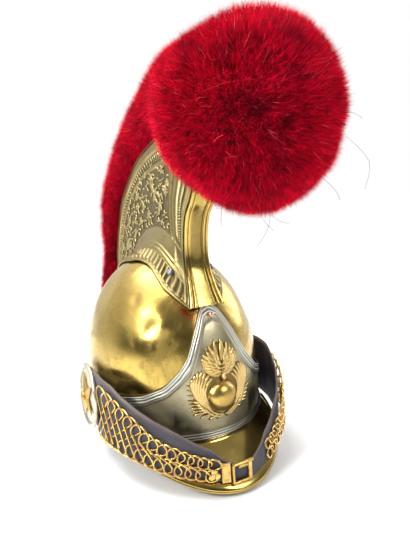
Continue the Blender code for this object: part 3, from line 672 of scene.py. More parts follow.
class Effects:
    """Shader node groups that several finishes share."""

    def __init__(self) -> None:
        """Build every group once."""
        self.tarnish = self.build_tarnish()
        self.scratches = self.build_scratches()
        self.grain = self.build_grain()

    @staticmethod
    def build_tarnish() -> Tree:
        """Cloudy patches, small spots, and dirt with painted shade in recesses."""
        tree, sketch, given, made = effect_group(
            "tarnish", {"Patch Scale": 18.0, "Spot Scale": 260.0, "Recess": 0.0}, ("Patch", "Spot", "Dirt"))
        where = sketch.places()
        cloud = sketch.noise(where, given.outputs["Patch Scale"], 6.0, 0.62, 0.6)
        sketch.feed(made.inputs["Patch"], sketch.spread(cloud, 0.36, 0.66))
        speck = sketch.noise(where, given.outputs["Spot Scale"], 3.0, 0.7)
        wide = sketch.noise(where, sketch.math("MULTIPLY", given.outputs["Patch Scale"], 2.3), 3.0)
        spots = sketch.math("MULTIPLY", sketch.spread(speck, 0.56, 0.72), sketch.spread(wide, 0.42, 0.65))
        sketch.feed(made.inputs["Spot"], spots)
        uneven = sketch.math("MULTIPLY_ADD", speck, 0.5)
        uneven.node.inputs[2].default_value = 0.72
        dirt = sketch.math("MULTIPLY", given.outputs["Recess"], uneven, True)
        sketch.feed(made.inputs["Dirt"], dirt)
        return tree

    @staticmethod
    def build_scratches() -> Tree:
        """Fine polishing marks in two directions, and a slow unevenness."""
        tree, sketch, given, made = effect_group(
            "polishing_marks", {"Scale": 90.0, "Wave Scale": 26.0}, ("Marks", "Waves"))
        where = sketch.places()
        first = sketch.noise(sketch.stretched(where, (1.0, 14.0, 9.0), (0.3, 0.2, 0.5)),
                             given.outputs["Scale"], 2.0)
        second = sketch.noise(sketch.stretched(where, (12.0, 1.0, 10.0), (0.7, -0.4, 1.1)),
                              given.outputs["Scale"], 2.0)
        sketch.feed(made.inputs["Marks"], sketch.math("ADD", first, second))
        sketch.feed(made.inputs["Waves"], sketch.noise(where, given.outputs["Wave Scale"], 2.0, 0.45))
        return tree

    @staticmethod
    def build_grain() -> Tree:
        """Leather grain with creases."""
        tree, sketch, given, made = effect_group("leather_grain", {"Scale": 900.0}, ("Height", "Wear"))
        where = sketch.places()
        cells = sketch.add("ShaderNodeTexVoronoi", feature="DISTANCE_TO_EDGE")
        sketch.feed(cells.inputs["Vector"], where)
        sketch.feed(cells.inputs["Scale"], given.outputs["Scale"])
        crease = sketch.noise(where, sketch.math("MULTIPLY", given.outputs["Scale"], 0.18), 5.0)
        total = sketch.math("ADD", sketch.math("MULTIPLY", cells.outputs["Distance"], 0.8), crease)
        sketch.feed(made.inputs["Height"], total)
        rubbed = sketch.noise(where, sketch.math("MULTIPLY", given.outputs["Scale"], 0.05), 5.0)
        sketch.feed(made.inputs["Wear"], sketch.spread(rubbed, 0.42, 0.68))
        return tree


def start_material(name: str) -> tuple[Material, NodeSketch, Node]:
    """Empty node material.

    Args:
        name: Name of the material.

    Returns:
        The material, a sketch on its tree and its Principled shader.
    """
    made = bpy.data.materials.new(name)
    made.use_nodes = True
    sketch = NodeSketch(made.node_tree)
    return made, sketch, made.node_tree.nodes["Principled BSDF"]


@dataclass(frozen=True)
class MetalFinish:
    """A metal with clouded tarnish, spots, dirt and painted shade in its recesses, crests rubbed bright with
    a painted highlight, and fine polishing marks.
    """

    name: str
    clean: Colour
    tarnish: Colour
    dirt: Colour
    # Crest colour: rubbed metal and a painted highlight
    bright: Colour = (0.80, 0.70, 0.42)
    roughness: float = 0.2
    dull: float = 0.42
    patch_scale: float = 18.0
    patch: float = 0.6
    dirt_and_shade_strength: float = 0.9
    marks: float = 0.08
    waves: float = 0.25
    matt: float = 0.25
    spots: float = 0.55
    # Strength of the crests' rubbing and painted highlight
    rubbed: float = 0.75
    bump_strength: float = 0.6
    bump_depth: float = 0.0012

    def material(self, effects: Effects) -> Material:
        """Build the material.

        Args:
            effects: The shared shader groups.

        Returns:
            The material.
        """
        made, sketch, shader = start_material(self.name)
        patches = sketch.add("ShaderNodeGroup", node_tree=effects.tarnish)
        patches.inputs["Patch Scale"].default_value = self.patch_scale
        sketch.feed(patches.inputs["Recess"], sketch.attribute("recess"))
        crest = sketch.attribute("crest")
        cloud = sketch.math("MULTIPLY", patches.outputs["Patch"], self.patch)
        colour = sketch.mix(cloud, self.clean, self.tarnish)
        spots = sketch.math("MULTIPLY", patches.outputs["Spot"], self.spots)
        colour = sketch.mix(spots, colour, self.dirt)
        # Painted highlight, partly real rubbing: crests go towards the bright colour
        colour = sketch.mix(sketch.math("MULTIPLY", crest, self.rubbed), colour, self.bright)
        # Dirt and painted shade: darker in the recesses
        dirt = sketch.math("MULTIPLY", patches.outputs["Dirt"], self.dirt_and_shade_strength)
        sketch.feed(shader.inputs["Base Color"], sketch.mix(dirt, colour, self.dirt))
        worn = sketch.math("MAXIMUM", cloud, dirt, True)
        sketch.feed(shader.inputs["Roughness"], sketch.spread(worn, 0.0, 1.0, self.roughness, self.dull))
        sketch.feed(shader.inputs["Metallic"], sketch.spread(worn, 0.0, 1.0, 1.0, 1.0 - self.matt))
        polish = sketch.add("ShaderNodeGroup", node_tree=effects.scratches)
        marks = sketch.math("MULTIPLY", polish.outputs["Marks"], self.marks)
        height = sketch.math("ADD", marks, sketch.math("MULTIPLY", polish.outputs["Waves"], self.waves))
        sketch.feed(shader.inputs["Normal"], sketch.bump(height, self.bump_strength, self.bump_depth))
        return made


@dataclass(frozen=True)
class LeatherFinish:
    """Blackened leather gone slate grey, with brown cut edges."""

    name: str = "slate_leather"
    colour: Colour = (0.030, 0.027, 0.036)
    rubbed: Colour = (0.058, 0.052, 0.064)
    cut: Colour = (0.115, 0.085, 0.075)
    roughness: float = 0.52
    worn_roughness: float = 0.67
    bump_strength: float = 0.5
    bump_depth: float = 0.0004

    def material(self, effects: Effects) -> Material:
        """Build the material.

        Args:
            effects: The shared shader groups.

        Returns:
            The material.
        """
        made, sketch, shader = start_material(self.name)
        grain = sketch.add("ShaderNodeGroup", node_tree=effects.grain)
        colour = sketch.mix(grain.outputs["Wear"], self.colour, self.rubbed)
        edge = sketch.attribute("recess")
        sketch.feed(shader.inputs["Base Color"], sketch.mix(edge, colour, self.cut))
        rough = sketch.spread(grain.outputs["Wear"], 0.0, 1.0, self.roughness, self.worn_roughness)
        sketch.feed(shader.inputs["Roughness"], rough)
        bump = sketch.bump(grain.outputs["Height"], self.bump_strength, self.bump_depth)
        sketch.feed(shader.inputs["Normal"], bump)
        return made


@dataclass(frozen=True)
class WoolFinish:
    """Dyed wool with painted shade: maroon at the roots and in darker patches, bright at the tips."""

    name: str
    tip: Colour
    # Root colour: painted shade deep among the hairs
    root: Colour
    faded: Colour
    roughness: float = 0.75
    specular: float = 0.12
    sheen: float = 0.04
    sheen_roughness: float = 0.4
    sheen_colour: Colour = (1.0, 0.1, 0.15)
    # Each mottling of painted shade: the scale of its noise, where it starts and ends, and its strength
    shade_mottles: tuple[tuple[float, float, float, float], ...] = (
        (30.0, 0.50, 0.68, 0.52), (170.0, 0.50, 0.66, 0.65))
    pale_from: float = 0.985
    pale_full: float = 0.995
    darkest: float = 0.30
    lightest: float = 1.25

    def material(self) -> Material:
        """Build the material.

        Returns:
            The material.
        """
        made, sketch, shader = start_material(self.name)
        reach, tint = sketch.attribute("reach"), sketch.attribute("tint")
        where = sketch.places()
        # Painted shade: dark at the roots, bright at the tips
        colour = sketch.mix(sketch.spread(reach, 0.05, 0.95), self.root, self.tip)
        # Painted shade: darker patches towards the root colour
        for scale, low, high, strength in self.shade_mottles:
            patch = sketch.spread(sketch.noise(where, scale, 3.0, 0.6), low, high)
            colour = sketch.mix(sketch.math("MULTIPLY", patch, strength), colour, self.root)
        colour = sketch.mix(sketch.spread(tint, self.pale_from, self.pale_full), colour, self.faded)
        shade = sketch.grey(sketch.spread(tint, 0.0, 0.9, self.darkest, self.lightest))
        sketch.feed(shader.inputs["Base Color"], sketch.mix(1.0, colour, shade, "MULTIPLY"))
        for key, value in (("Roughness", self.roughness), ("Sheen Weight", self.sheen),
                           ("Sheen Roughness", self.sheen_roughness),
                           ("Specular IOR Level", self.specular)):
            shader.inputs[key].default_value = value
        shader.inputs["Sheen Tint"].default_value = (*self.sheen_colour, 1.0)
        return made


@dataclass(frozen=True)
class Finishes:
    """Every material on the helmet."""

    skull: Material
    plate: Material
    gilt: Material
    comb: Material
    polished: Material
    chain: Material
    rosette: Material
    steel: Material
    copper: Material
    leather: Material
    wool: Material
    wool_core: Material

    @classmethod
    def build(cls) -> "Finishes":
        """Make every material.

        Returns:
            The set of them.
        """
        effects = Effects()
        brown, olive = (0.085, 0.050, 0.014), (0.22, 0.150, 0.030)
        metals = {
            "skull": MetalFinish("brass_of_the_skull", (0.54, 0.380, 0.100), olive, brown,
                                 roughness=0.18, dull=0.38, patch_scale=17.0, patch=0.9, marks=0.05,
                                 waves=0.5, matt=0.35),
            "plate": MetalFinish("worn_silver_plate", (0.37, 0.33, 0.215), (0.25, 0.215, 0.12),
                                 (0.03, 0.026, 0.016), (0.54, 0.56, 0.55), roughness=0.33, dull=0.46,
                                 patch_scale=24.0, patch=0.8, marks=0.07, waves=0.25, matt=0.45),
            "gilt": MetalFinish("gilt_ornament", (0.52, 0.355, 0.100), (0.35, 0.22, 0.055),
                                (0.07, 0.038, 0.010), (0.76, 0.57, 0.26), roughness=0.26, dull=0.44,
                                patch_scale=34.0, patch=0.6, matt=0.3),
            "comb": MetalFinish("cast_brass_comb", (0.33, 0.262, 0.105), (0.20, 0.155, 0.060),
                                (0.050, 0.036, 0.012), (0.78, 0.68, 0.38), roughness=0.30, dull=0.50,
                                patch_scale=30.0, patch=0.8, matt=0.4),
            "polished": MetalFinish("polished_brass", (0.54, 0.39, 0.11), (0.24, 0.165, 0.045), brown,
                                    roughness=0.13, dull=0.34, patch_scale=20.0, patch=0.55, marks=0.04,
                                    waves=0.3),
            "chain": MetalFinish("gilt_wire", (0.70, 0.50, 0.14), (0.50, 0.26, 0.10), brown,
                                 roughness=0.22, dull=0.40, patch_scale=60.0, patch=0.8),
            "rosette": MetalFinish("silvered_rosette", (0.60, 0.57, 0.46), (0.40, 0.35, 0.24),
                                   (0.07, 0.06, 0.045), (0.80, 0.80, 0.80), roughness=0.28, dull=0.46,
                                   patch_scale=34.0, patch=0.6, matt=0.35),
            "steel": MetalFinish("dark_steel", (0.20, 0.21, 0.26), (0.10, 0.10, 0.13),
                                 (0.03, 0.03, 0.035), roughness=0.30, dull=0.50, patch_scale=90.0,
                                 patch=0.7),
            "copper": MetalFinish("copper_rivet", (0.66, 0.38, 0.24), (0.36, 0.20, 0.12),
                                  (0.06, 0.04, 0.03), roughness=0.25, dull=0.45, patch_scale=120.0,
                                  patch=0.5),
        }
        made = {key: finish.material(effects) for key, finish in metals.items()}
        wool = WoolFinish("crimson_wool", (0.92, 0.0, 0.036), (0.050, 0.0, 0.006), (0.80, 0.16, 0.17))
        # Painted shade: the core's dark crimson stands for the shade deep in the pile
        core = WoolFinish("crimson_wool_core", (0.12, 0.0, 0.006), (0.06, 0.0, 0.004), (0.12, 0.0, 0.006))
        return cls(leather=LeatherFinish().material(effects), wool=wool.material(),
                   wool_core=core.material(), **made)


# The helmet's own pieces


@dataclass
class Skull:
    """Deep oval bowl, dented and unevenly polished."""

    half_width: float = 0.0957
    half_length: float = 0.1204
    rise: float = 0.1256
    middle_z: float = 0.0975
    rim_z: float = 0.038
    wall: float = 0.0012
    columns: int = 168
    rows: int = 96
    wall_share: float = 0.22
    # Each dent: degrees from the front, height, radius, depth
    dents: tuple[tuple[float, float, float, float], ...] = (
        (-37.7, 0.1545, 0.0075, 0.0016), (-41.0, 0.1490, 0.0045, 0.0008), (-52.5, 0.1776, 0.0060, 0.0009),
        (-30.0, 0.1500, 0.0060, 0.0007), (-58.0, 0.1050, 0.0110, 0.0007), (-28.0, 0.1150, 0.0120, 0.0008),
        (55.0, 0.1500, 0.0090, 0.0008), (140.0, 0.1200, 0.0110, 0.0009))

    def narrowing(self, height: Array) -> Array:
        """Share of its full width that the skull has at a height."""
        over = np.clip((height - self.middle_z) / self.rise, 0.0, 1.0)
        return np.sqrt(1.0 - over * over)

    def point(self, angle: Array, height: Array, stand_off: Array | float) -> Array:
        """Points off the skull.

        Args:
            angle: Angle from the front, positive towards +X.
            height: Height of the point.
            stand_off: Distance off the skull.

        Returns:
            The points.
        """
        width = self.narrowing(height)
        slope = np.clip((height - self.middle_z) / self.rise, 0.0, 1.0)
        flat = np.sqrt(1.0 - slope * slope)
        return stacked((self.half_width * width + stand_off * flat) * np.sin(angle),
                       -(self.half_length * width + stand_off * flat) * np.cos(angle),
                       height + stand_off * slope)

    def surface(self, across: Array, up: Array) -> Array:
        """Outer face: across goes round from the back, up from the rim to the crown."""
        angle = (across * 2 - 1) * pi
        lift = np.clip((up - self.wall_share) / (1 - self.wall_share), 0.0, 1.0) * pi / 2
        below = np.clip(up / self.wall_share, 0.0, 1.0)
        height = np.where(up < self.wall_share, self.rim_z + (self.middle_z - self.rim_z) * below,
                          self.middle_z + self.rise * np.sin(lift))
        return stacked(self.half_width * np.cos(lift) * np.sin(angle),
                       -self.half_length * np.cos(lift) * np.cos(angle), height)

    def beaten(self, across: Array, up: Array) -> Array:
        """Outer face with its dents and gentle waves."""
        points = self.surface(across, up)
        normal = unit((points - (0.0, 0.0, self.middle_z * 0.9)) / (self.half_width ** 2,
                                                                     self.half_length ** 2, self.rise ** 2))
        depth = 0.00022 * waviness(points, 0.050, 3) + 0.00008 * waviness(points, 0.022, 4)
        for turn, height, radius, deep in self.dents:
            middle = self.point(np.array(radians(turn)), np.array(height), 0.0)
            away = np.linalg.norm(points - middle, axis=-1) / radius
            depth = depth - deep * np.exp(-away ** 2)
        return points + normal * (depth * ease(0.0, 0.03, up))[..., None]

    def build(self, looks: Finishes) -> None:
        """Build the bowl.

        Args:
            looks: The materials.
        """
        bm = sheet(self.columns, self.rows, self.beaten, weld=True)
        bmesh.ops.recalc_face_normals(bm, faces=bm.faces)
        piece("skull_bowl", bm, looks.skull, ["skull"], wall=self.wall)


@dataclass
class FrontPlate:
    """Silvered plate around the front with three ribs along each long edge, its rivet and grenade."""

    skull: Skull
    foot_z: float = 0.041
    wing_z: float = 0.082
    peak_z: float = 0.171
    turn: float = radians(84)
    wall: float = 0.0009
    lower: float = 0.0075
    upper: float = 0.0095
    relief: float = 0.0016
    edge: Outline = ((0.0, 1.0), (0.067, 0.955), (0.099, 0.888), (0.168, 0.685),
                              (0.226, 0.472), (0.293, 0.326), (0.395, 0.169), (0.543, 0.056),
                              (0.72, 0.0), (1.0, 0.0))
    rivet_z: float = 0.1587
    rivet_radius: float = 0.0028
    columns: int = 260
    rows: int = 50
    lower_rows: int = 14
    upper_rows: int = 20
    # Each rib: its middle and half width as shares of its moulding, and its height
    lower_ribs: Ribs = (
        (0.14, 0.15, 1.0), (0.45, 0.16, 1.0), (0.78, 0.13, 0.8))
    upper_ribs: Ribs = (
        (0.10, 0.10, 0.7), (0.33, 0.15, 1.0), (0.64, 0.14, 1.0), (0.90, 0.11, 1.0))

    def top(self, share: Array) -> Array:
        """Height of the upper edge at a share of the plate's turn."""
        return self.wing_z + (self.peak_z - self.wing_z) * soft_table(self.edge, share, 1, 0.016)

    def drop(self, share: Array) -> Array:
        """Height that the upper ribs take, more where the edge is steep."""
        step = 0.03
        start = np.maximum(share, 0.06)
        rise = self.top(start + step) - self.top(start - step)
        run = 2 * step * self.turn * (self.skull.half_width + self.skull.half_length) / 2
        room = (self.top(share) - self.foot_z - self.lower) * 0.55
        return np.minimum(self.upper * np.hypot(1.0, rise / run), room)

    def heights(self, across: Array, up: Array) -> tuple[Array, Array]:
        """Height and relief of the plate's grid.

        Args:
            across: Share of the turn, from right to left.
            up: Share of the rows.

        Returns:
            The heights, and the relief from 0 in the grooves to 1 on the ribs.
        """
        share = np.abs(2 * across - 1)
        top, drop = self.top(share), self.drop(share)
        row = up * self.rows
        low = np.clip(row / self.lower_rows, 0, 1)
        high = np.clip((row - self.rows + self.upper_rows) / self.upper_rows, 0, 1)
        middle = (row - self.lower_rows) / (self.rows - self.lower_rows - self.upper_rows)
        start = self.foot_z + self.lower
        height = np.where(low < 1, self.foot_z + self.lower * low,
                          np.where(high > 0, top - drop * (1 - high),
                                   start + (top - drop - start) * np.clip(middle, 0, 1)))
        return height, ridges(low, self.lower_ribs) + ridges(high, self.upper_ribs)

    def surface(self, across: Array, up: Array) -> Array:
        """Face of the plate with its ribs."""
        height, ribs = self.heights(across, up)
        angle = (2 * across - 1) * self.turn
        flat = self.skull.point(angle, height, SEAT + self.wall)
        uneven = 0.00022 * waviness(flat, 0.030, 8) * (ribs < 0.05)
        return self.skull.point(angle, height, SEAT + self.wall + 0.0002 + ribs * self.relief + uneven)

    def recess(self, across: Array, up: Array) -> Array:
        """Dirt and painted shade in the grooves between the ribs."""
        row = up * self.rows
        _, ribs = self.heights(across, up)
        banded = (row < self.lower_rows) | (row > self.rows - self.upper_rows)
        return np.where(banded, np.clip(1.15 - ribs * 1.5, 0, 1), 0.0)

    def crest(self, across: Array, up: Array) -> Array:
        """Ribs rubbed back to bright silver, with a painted highlight."""
        row = up * self.rows
        _, ribs = self.heights(across, up)
        banded = (row < self.lower_rows + 1) | (row > self.rows - self.upper_rows - 1)
        return np.where(banded, np.clip(ribs * 1.8 - 0.85, 0, 1), 0.0)

    def build(self, looks: Finishes) -> None:
        """Build the plate and its rivet.

        Args:
            looks: The materials.
        """
        bm = sheet(self.columns, self.rows, self.surface, self.recess, crest=self.crest)
        return_edge(bm, Vector((0.0, 0.0, self.wing_z)), self.wall)
        bmesh.ops.recalc_face_normals(bm, faces=bm.faces)
        piece("silver_plate", bm, looks.plate, ["front_plate"])
        rivet = bmesh.new()
        seat = self.skull.point(np.array(0.0), np.array(self.rivet_z),
                                SEAT + self.wall + self.relief + self.rivet_radius * 0.9)
        add_ball(rivet, 24, 14, self.rivet_radius, seat.tolist())
        piece("copper_rivet", rivet, looks.copper, ["plate_rivet"])


@dataclass
class Grenade:
    """Gilt grenade with a flame of lobes, feathers around its ball and a spray of pointed leaves."""

    skull: Skull
    plate: FrontPlate
    middle_z: float = 0.085
    half_width: float = 0.032
    flame_rise: float = 0.063
    ball_radius: float = 0.0152
    ball_proud: float = 0.0085
    ball_middle: Flat = (-0.0015, -0.0025)
    bed_proud: float = 0.0012
    bed_share: float = 0.4
    bed_inset: float = 0.92
    bed_border: float = 0.0020
    spokes: int = 96
    rings: int = 20
    outline: Outline = ((0.0, 0.86), (0.20, 0.84), (0.40, 0.76), (0.46, 0.63), (0.40, 0.48),
                                 (0.60, 0.36), (0.84, 0.22), (0.98, 0.03), (1.0, -0.13),
                                 (0.82, -0.21), (0.50, -0.27), (0.0, -0.30))

    def point(self, side: Array, rise: Array, height: Array) -> Array:
        """Points in front of the plate, sideways and up from the ball, at a height off its bed."""
        level = self.middle_z + rise
        share = side / (self.skull.half_width * self.skull.narrowing(level))
        angle = np.arcsin(np.clip(share, -0.95, 0.95))
        return self.skull.point(angle, level, SEAT + self.plate.wall + GAP + height)

    def bed(self, across: Array, up: Array) -> Array:
        """Thin bed under the leaves, rising into the ball."""
        flat = np.array(self.outline) * (self.half_width, self.flame_rise)
        bearing = (1 - across) * 2 * pi - pi
        bearings = np.arctan2(flat[:, 0], flat[:, 1])
        reach = np.interp(np.abs(bearing), bearings, np.hypot(flat[:, 0], flat[:, 1]))
        inner, foot = self.ball_radius, self.bed_share
        edge = np.maximum(reach * self.bed_inset, inner + self.bed_border)
        radius = np.where(up <= foot, edge + (inner - edge) * up / foot,
                          inner * (1 - (up - foot) / (1 - foot)))
        dome = np.sqrt(np.clip(1 - (radius / inner) ** 2, 0, 1))
        height = np.where(up > foot, self.bed_proud + self.ball_proud * 1.25 * dome,
                          self.bed_proud * np.minimum(1.0, up * 6))
        shift = ease(0.0, foot, up)
        return self.point(radius * np.sin(bearing) + shift * self.ball_middle[0],
                          radius * np.cos(bearing) + shift * self.ball_middle[1], height)

    @staticmethod
    def bed_recess(across: Array, up: Array) -> Array:
        """Dirt and painted shade between the leaves and round the foot of the ball."""
        return np.where(up < 0.44, 0.85, 0.0) + 0.0 * across

    @staticmethod
    def leaves() -> list[Blade]:
        """Blades of the right half, in metres from the middle of the ball.

        Returns:
            The blades.
        """
        made = []
        tops = ((-8, 19), (-11, 23), (-14.5, 26), (-18, 27.5), (-21.5, 27), (-25, 24.5), (-28, 20))
        waists = ((-18.2, 3), (-20.2, 4), (-22.2, 5), (-24.2, 6), (-26.2, 7), (-28, 8), (-29.4, 9))
        ends = ((-8, -18), (-10.5, -18), (-13, -17), (-15.5, -15.5), (-18, -13.5), (-20.5, -11), (-23, -8))
        for top, waist, end in zip(tops, waists, ends):
            made.append(Blade(end, waist, top, 1.75, 2.6, Tip.EVEN))
        made.append(Blade((0, -22), (-12.5, -16.5), (-17.6, -5), 1.6, 2.4, Tip.EVEN))
        made.append(Blade((-1, -24), (-13.5, -19.5), (-20, -8), 1.5, 2.2, Tip.EVEN))
        spray = (((-22, -3), (-35.5, 14.5)), ((-22, -5.5), (-35.5, 9.5)), ((-21, -8), (-35, 4)),
                 ((-20, -10), (-36.5, -2)), ((-19, -12), (-34, -6)), ((-18, -13.5), (-32.8, -10.3)),
                 ((-16, -15.5), (-32, -14.3)), ((-13, -17), (-31, -18)), ((-9, -19), (-25, -22.3)),
                 ((-4, -21), (-16.5, -25)), ((0, -21.5), (-8, -26)))
        for root, tip in spray:
            made.append(straight_blade(root, tip, -0.10, 1.45, 2.2, Tip.POINTED))
        flame = (((-6, 37), (-16.5, 41), 1.7, 3.6), ((-6, 34), (-18.3, 37.4), 1.7, 3.4),
                 ((-6, 31.5), (-18.6, 33.8), 1.7, 3.4), ((-6, 29), (-18.5, 30.2), 1.6, 3.2),
                 ((-5, 26), (-17, 26.6), 1.6, 3.2), ((-4, 23.5), (-14, 23.2), 1.5, 3.0),
                 ((-3, 21), (-9.5, 20.5), 1.4, 3.0), ((-2, 34), (-11.5, 43.5), 1.8, 4.6),
                 ((-1, 31), (-12.5, 38.6), 1.8, 5.0), ((-1, 28), (-11.8, 33.6), 1.7, 5.0),
                 ((-1, 25.5), (-10, 29), 1.6, 4.8), ((-1, 23), (-7.5, 25), 1.5, 4.4))
        inner = (((-1, 36), (-9.5, 40.5), 1.8, 4.2), ((-1, 33), (-10.5, 36.2), 1.8, 4.4),
                 ((-1, 29.5), (-11, 31.6), 1.8, 4.4), ((-1, 26.5), (-10.5, 27.4), 1.7, 4.2),
                 ((0, 24), (-8.5, 23.6), 1.7, 4.0), ((0, 21), (-6, 19.8), 1.6, 3.6),
                 ((1, 33), (-4.5, 40), 1.6, 5.4), ((1, 29), (-5, 35.2), 1.6, 5.6),
                 ((1, 25.5), (-5, 30.4), 1.6, 5.4), ((1, 22), (-4.6, 25.6), 1.5, 5.0))
        for root, tip, width, proud in flame + inner:
            made.append(straight_blade(root, tip, 0.28, width * 1.2, proud * 0.8, Tip.ROUND, 0.25))
        tall = (((-1.5, 33), (-2.8, 53), 1.9, 3.4, 0.08), ((-4, 36), (-9.6, 48.6), 1.8, 3.2, 0.10),
                ((-2.5, 30), (-6, 44), 1.8, 5.2, 0.12), ((-0.8, 27), (-2.4, 39), 1.6, 6.2, 0.12),
                ((-5, 34), (-13.4, 46.5), 1.3, 2.4, 0.12))
        for root, tip, width, proud, bow in tall:
            made.append(straight_blade(root, tip, bow, width, proud, Tip.POINTED, 0.2))
        return [Blade(*(tuple(x / 1000 for x in spot) for spot in (b.root, b.waist, b.tip)),
                      b.width / 1000, b.proud / 1000, b.end, b.groove) for b in made]

    def build(self, looks: Finishes) -> None:
        """Build the bed, the ball and the leaves.

        Args:
            looks: The materials.
        """
        bm = sheet(self.spokes, self.rings, self.bed, self.bed_recess, weld=True)
        bmesh.ops.recalc_face_normals(bm, faces=bm.faces)
        piece("grenade_ball", bm, looks.gilt, ["grenade"], wall=0.0009)
        right = self.leaves()
        centre = [straight_blade((0.001, 0.030), (0.0035, 0.0505), 0.05, 0.0018, 0.0042, Tip.POINTED, 0.2),
                  straight_blade((0.0, 0.0135), (0.0, 0.0215), 0.0, 0.0022, 0.0075, Tip.POINTED)]
        mesh = BladeWork().mesh("grenade_leaves", right + mirrored_blades(right) + centre, self.point)
        piece_from("grenade_leaves", mesh, looks.gilt)


@dataclass
class Comb:
    """Cast comb: two sides with mouldings, foliage and slanted ribs, its front strip and screws."""

    skull: Skull
    reach: float = 0.140
    top_z: float = 0.343
    edge_half_width: float = 0.012
    wall: float = 0.0012
    relief: float = 0.0016
    flare: float = 0.36
    foot_seat: float = 0.0012
    foot_half_width: float = 0.043
    strip_wall: float = 0.0014
    strip_bulge: float = 0.0025
    screw_radius: float = 0.0036
    screw_spot: Flat = (0.150, 0.120)
    screw_slot: float = 0.0007
    columns: int = 176
    rows: int = 150
    # The field of leaves: where it starts and ends as shares, its rough size, and its corner's radius
    field_start: float = 0.160
    field_top: float = 0.838
    field_length: float = 0.235
    field_height: float = 0.185
    field_corner: float = 0.016
    border_from: float = 0.925
    # Each rib: its middle and half width as shares, or metres from the field, and its height
    frame_ribs: Ribs = ((0.0, 0.0013, 1.0), (0.0030, 0.0013, 1.0))
    front_ribs: Ribs = (
        (0.010, 0.011, 1.0), (0.034, 0.010, 1.0), (0.132, 0.009, 0.8))
    arc_ribs: Ribs = (
        (0.158, 0.015, 1.0), (0.192, 0.013, 0.8), (0.318, 0.012, 0.7))
    cove: Ribs = ((0.255, 0.055, 0.45),)
    strip_ribs: Ribs = ((0.62, 0.105, 1.0), (0.86, 0.125, 1.0))
    strip_rib_height: float = 0.0024
    slanted_ribs: float = 27.0
    slant: float = 5.0
    slanted_height: float = 1.5
    rope_turns: float = 420.0
    rope_slant: float = 300.0
    dirt_and_shade_share: float = 0.80
    # Each spray of leaves: share across and up, bearing and spread in degrees, leaves, length
    sprays: tuple[tuple[float, float, float, float, int, float], ...] = (
        (0.325, 0.640, 78, 130, 9, 0.0150), (0.300, 0.575, 40, 330, 11, 0.0085),
        (0.19, 0.66, 90, 300, 8, 0.0050), (0.26, 0.500, 90, 320, 9, 0.0058),
        (0.42, 0.500, 110, 90, 4, 0.0130), (0.36, 0.470, -50, 60, 3, 0.0130),
        (0.46, 0.560, 70, 140, 6, 0.0095), (0.52, 0.500, 80, 150, 6, 0.0090),
        (0.47, 0.420, 60, 160, 6, 0.0085), (0.56, 0.410, 60, 170, 6, 0.0085),
        (0.44, 0.680, 60, 150, 6, 0.0110), (0.28, 0.430, 60, 150, 5, 0.0080),
        (0.21, 0.570, 100, 110, 5, 0.0090), (0.24, 0.740, 90, 150, 6, 0.0090),
        (0.56, 0.620, 50, 150, 7, 0.0120), (0.66, 0.540, 45, 330, 11, 0.0100),
        (0.66, 0.440, 40, 150, 6, 0.0100), (0.76, 0.500, 30, 150, 7, 0.0110),
        (0.70, 0.680, 40, 150, 7, 0.0110), (0.82, 0.620, 20, 150, 7, 0.0110),
        (0.86, 0.480, 10, 150, 6, 0.0090), (0.36, 0.780, 70, 110, 5, 0.0080),
        (0.50, 0.770, 60, 110, 5, 0.0080), (0.78, 0.760, 30, 110, 5, 0.0080))
    # The small leaves between the sprays: first share, end and step, across and up
    filling_across: Spot = (0.18, 0.92, 0.041)
    filling_up: Spot = (0.36, 0.84, 0.040)
    border_leaf_count: int = 74
    front_leaf_count: int = 34
    edge: Outline = ((-0.93, 0.925), (-0.80, 0.974), (-0.607, 0.997), (-0.393, 1.0),
                              (-0.171, 0.988), (0.143, 0.956), (0.407, 0.904), (0.643, 0.834),
                              (0.80, 0.758), (0.914, 0.668), (0.979, 0.583), (1.0, 0.519))
    heel: Outline = ((0.965, 0.455), (0.865, 0.402))
    front: Outline = ((-0.721, 0.490), (-0.668, 0.540), (-0.614, 0.607), (-0.607, 0.676),
                               (-0.657, 0.755), (-0.75, 0.802), (-0.836, 0.857), (-0.93, 0.925))
    foot: Ribs = (
        (0.0, 0.42, 33.5), (0.08, 0.62, 40.0), (0.16, 0.80, 49.0), (0.24, 0.82, 57.0),
        (0.34, 0.80, 69.0), (0.44, 0.86, 80.0), (0.54, 1.0, 90.0), (0.66, 1.0, 104.0),
        (0.78, 0.92, 120.0), (0.90, 0.66, 139.0), (1.0, 0.33, 160.0))

    def outline(self, points: Sequence[Flat]) -> list[Spot]:
        """Points of the side view in metres, from their shares."""
        return [(0.0, y * self.reach, z * self.top_z) for y, z in points]

    def foot_line(self, share: Array) -> Array:
        """Foot on the skull, share 0 at the front and 1 at the back."""
        half = self.foot_half_width * soft_table(self.foot, share)
        over = np.radians(soft_table(self.foot, share, 2))
        rest = np.sqrt(1.0 - (half / self.skull.half_width) ** 2)
        seat = self.foot_seat + self.wall
        return stacked(half, -(self.skull.half_length + seat) * rest * np.cos(over),
                       self.skull.middle_z + (self.skull.rise + seat) * rest * np.sin(over))

    def off_the_skull(self, points: Array) -> Array:
        """The points, moved out to the skull's surface where they lie too deep."""
        seat = self.foot_seat + self.wall
        middle = np.array((0.0, 0.0, self.skull.middle_z))
        size = np.array((self.skull.half_width, self.skull.half_length, self.skull.rise)) + seat
        depth = np.linalg.norm((points - middle) / size, axis=-1, keepdims=True)
        return np.where(depth < 1.0, middle + (points - middle) / depth, points)

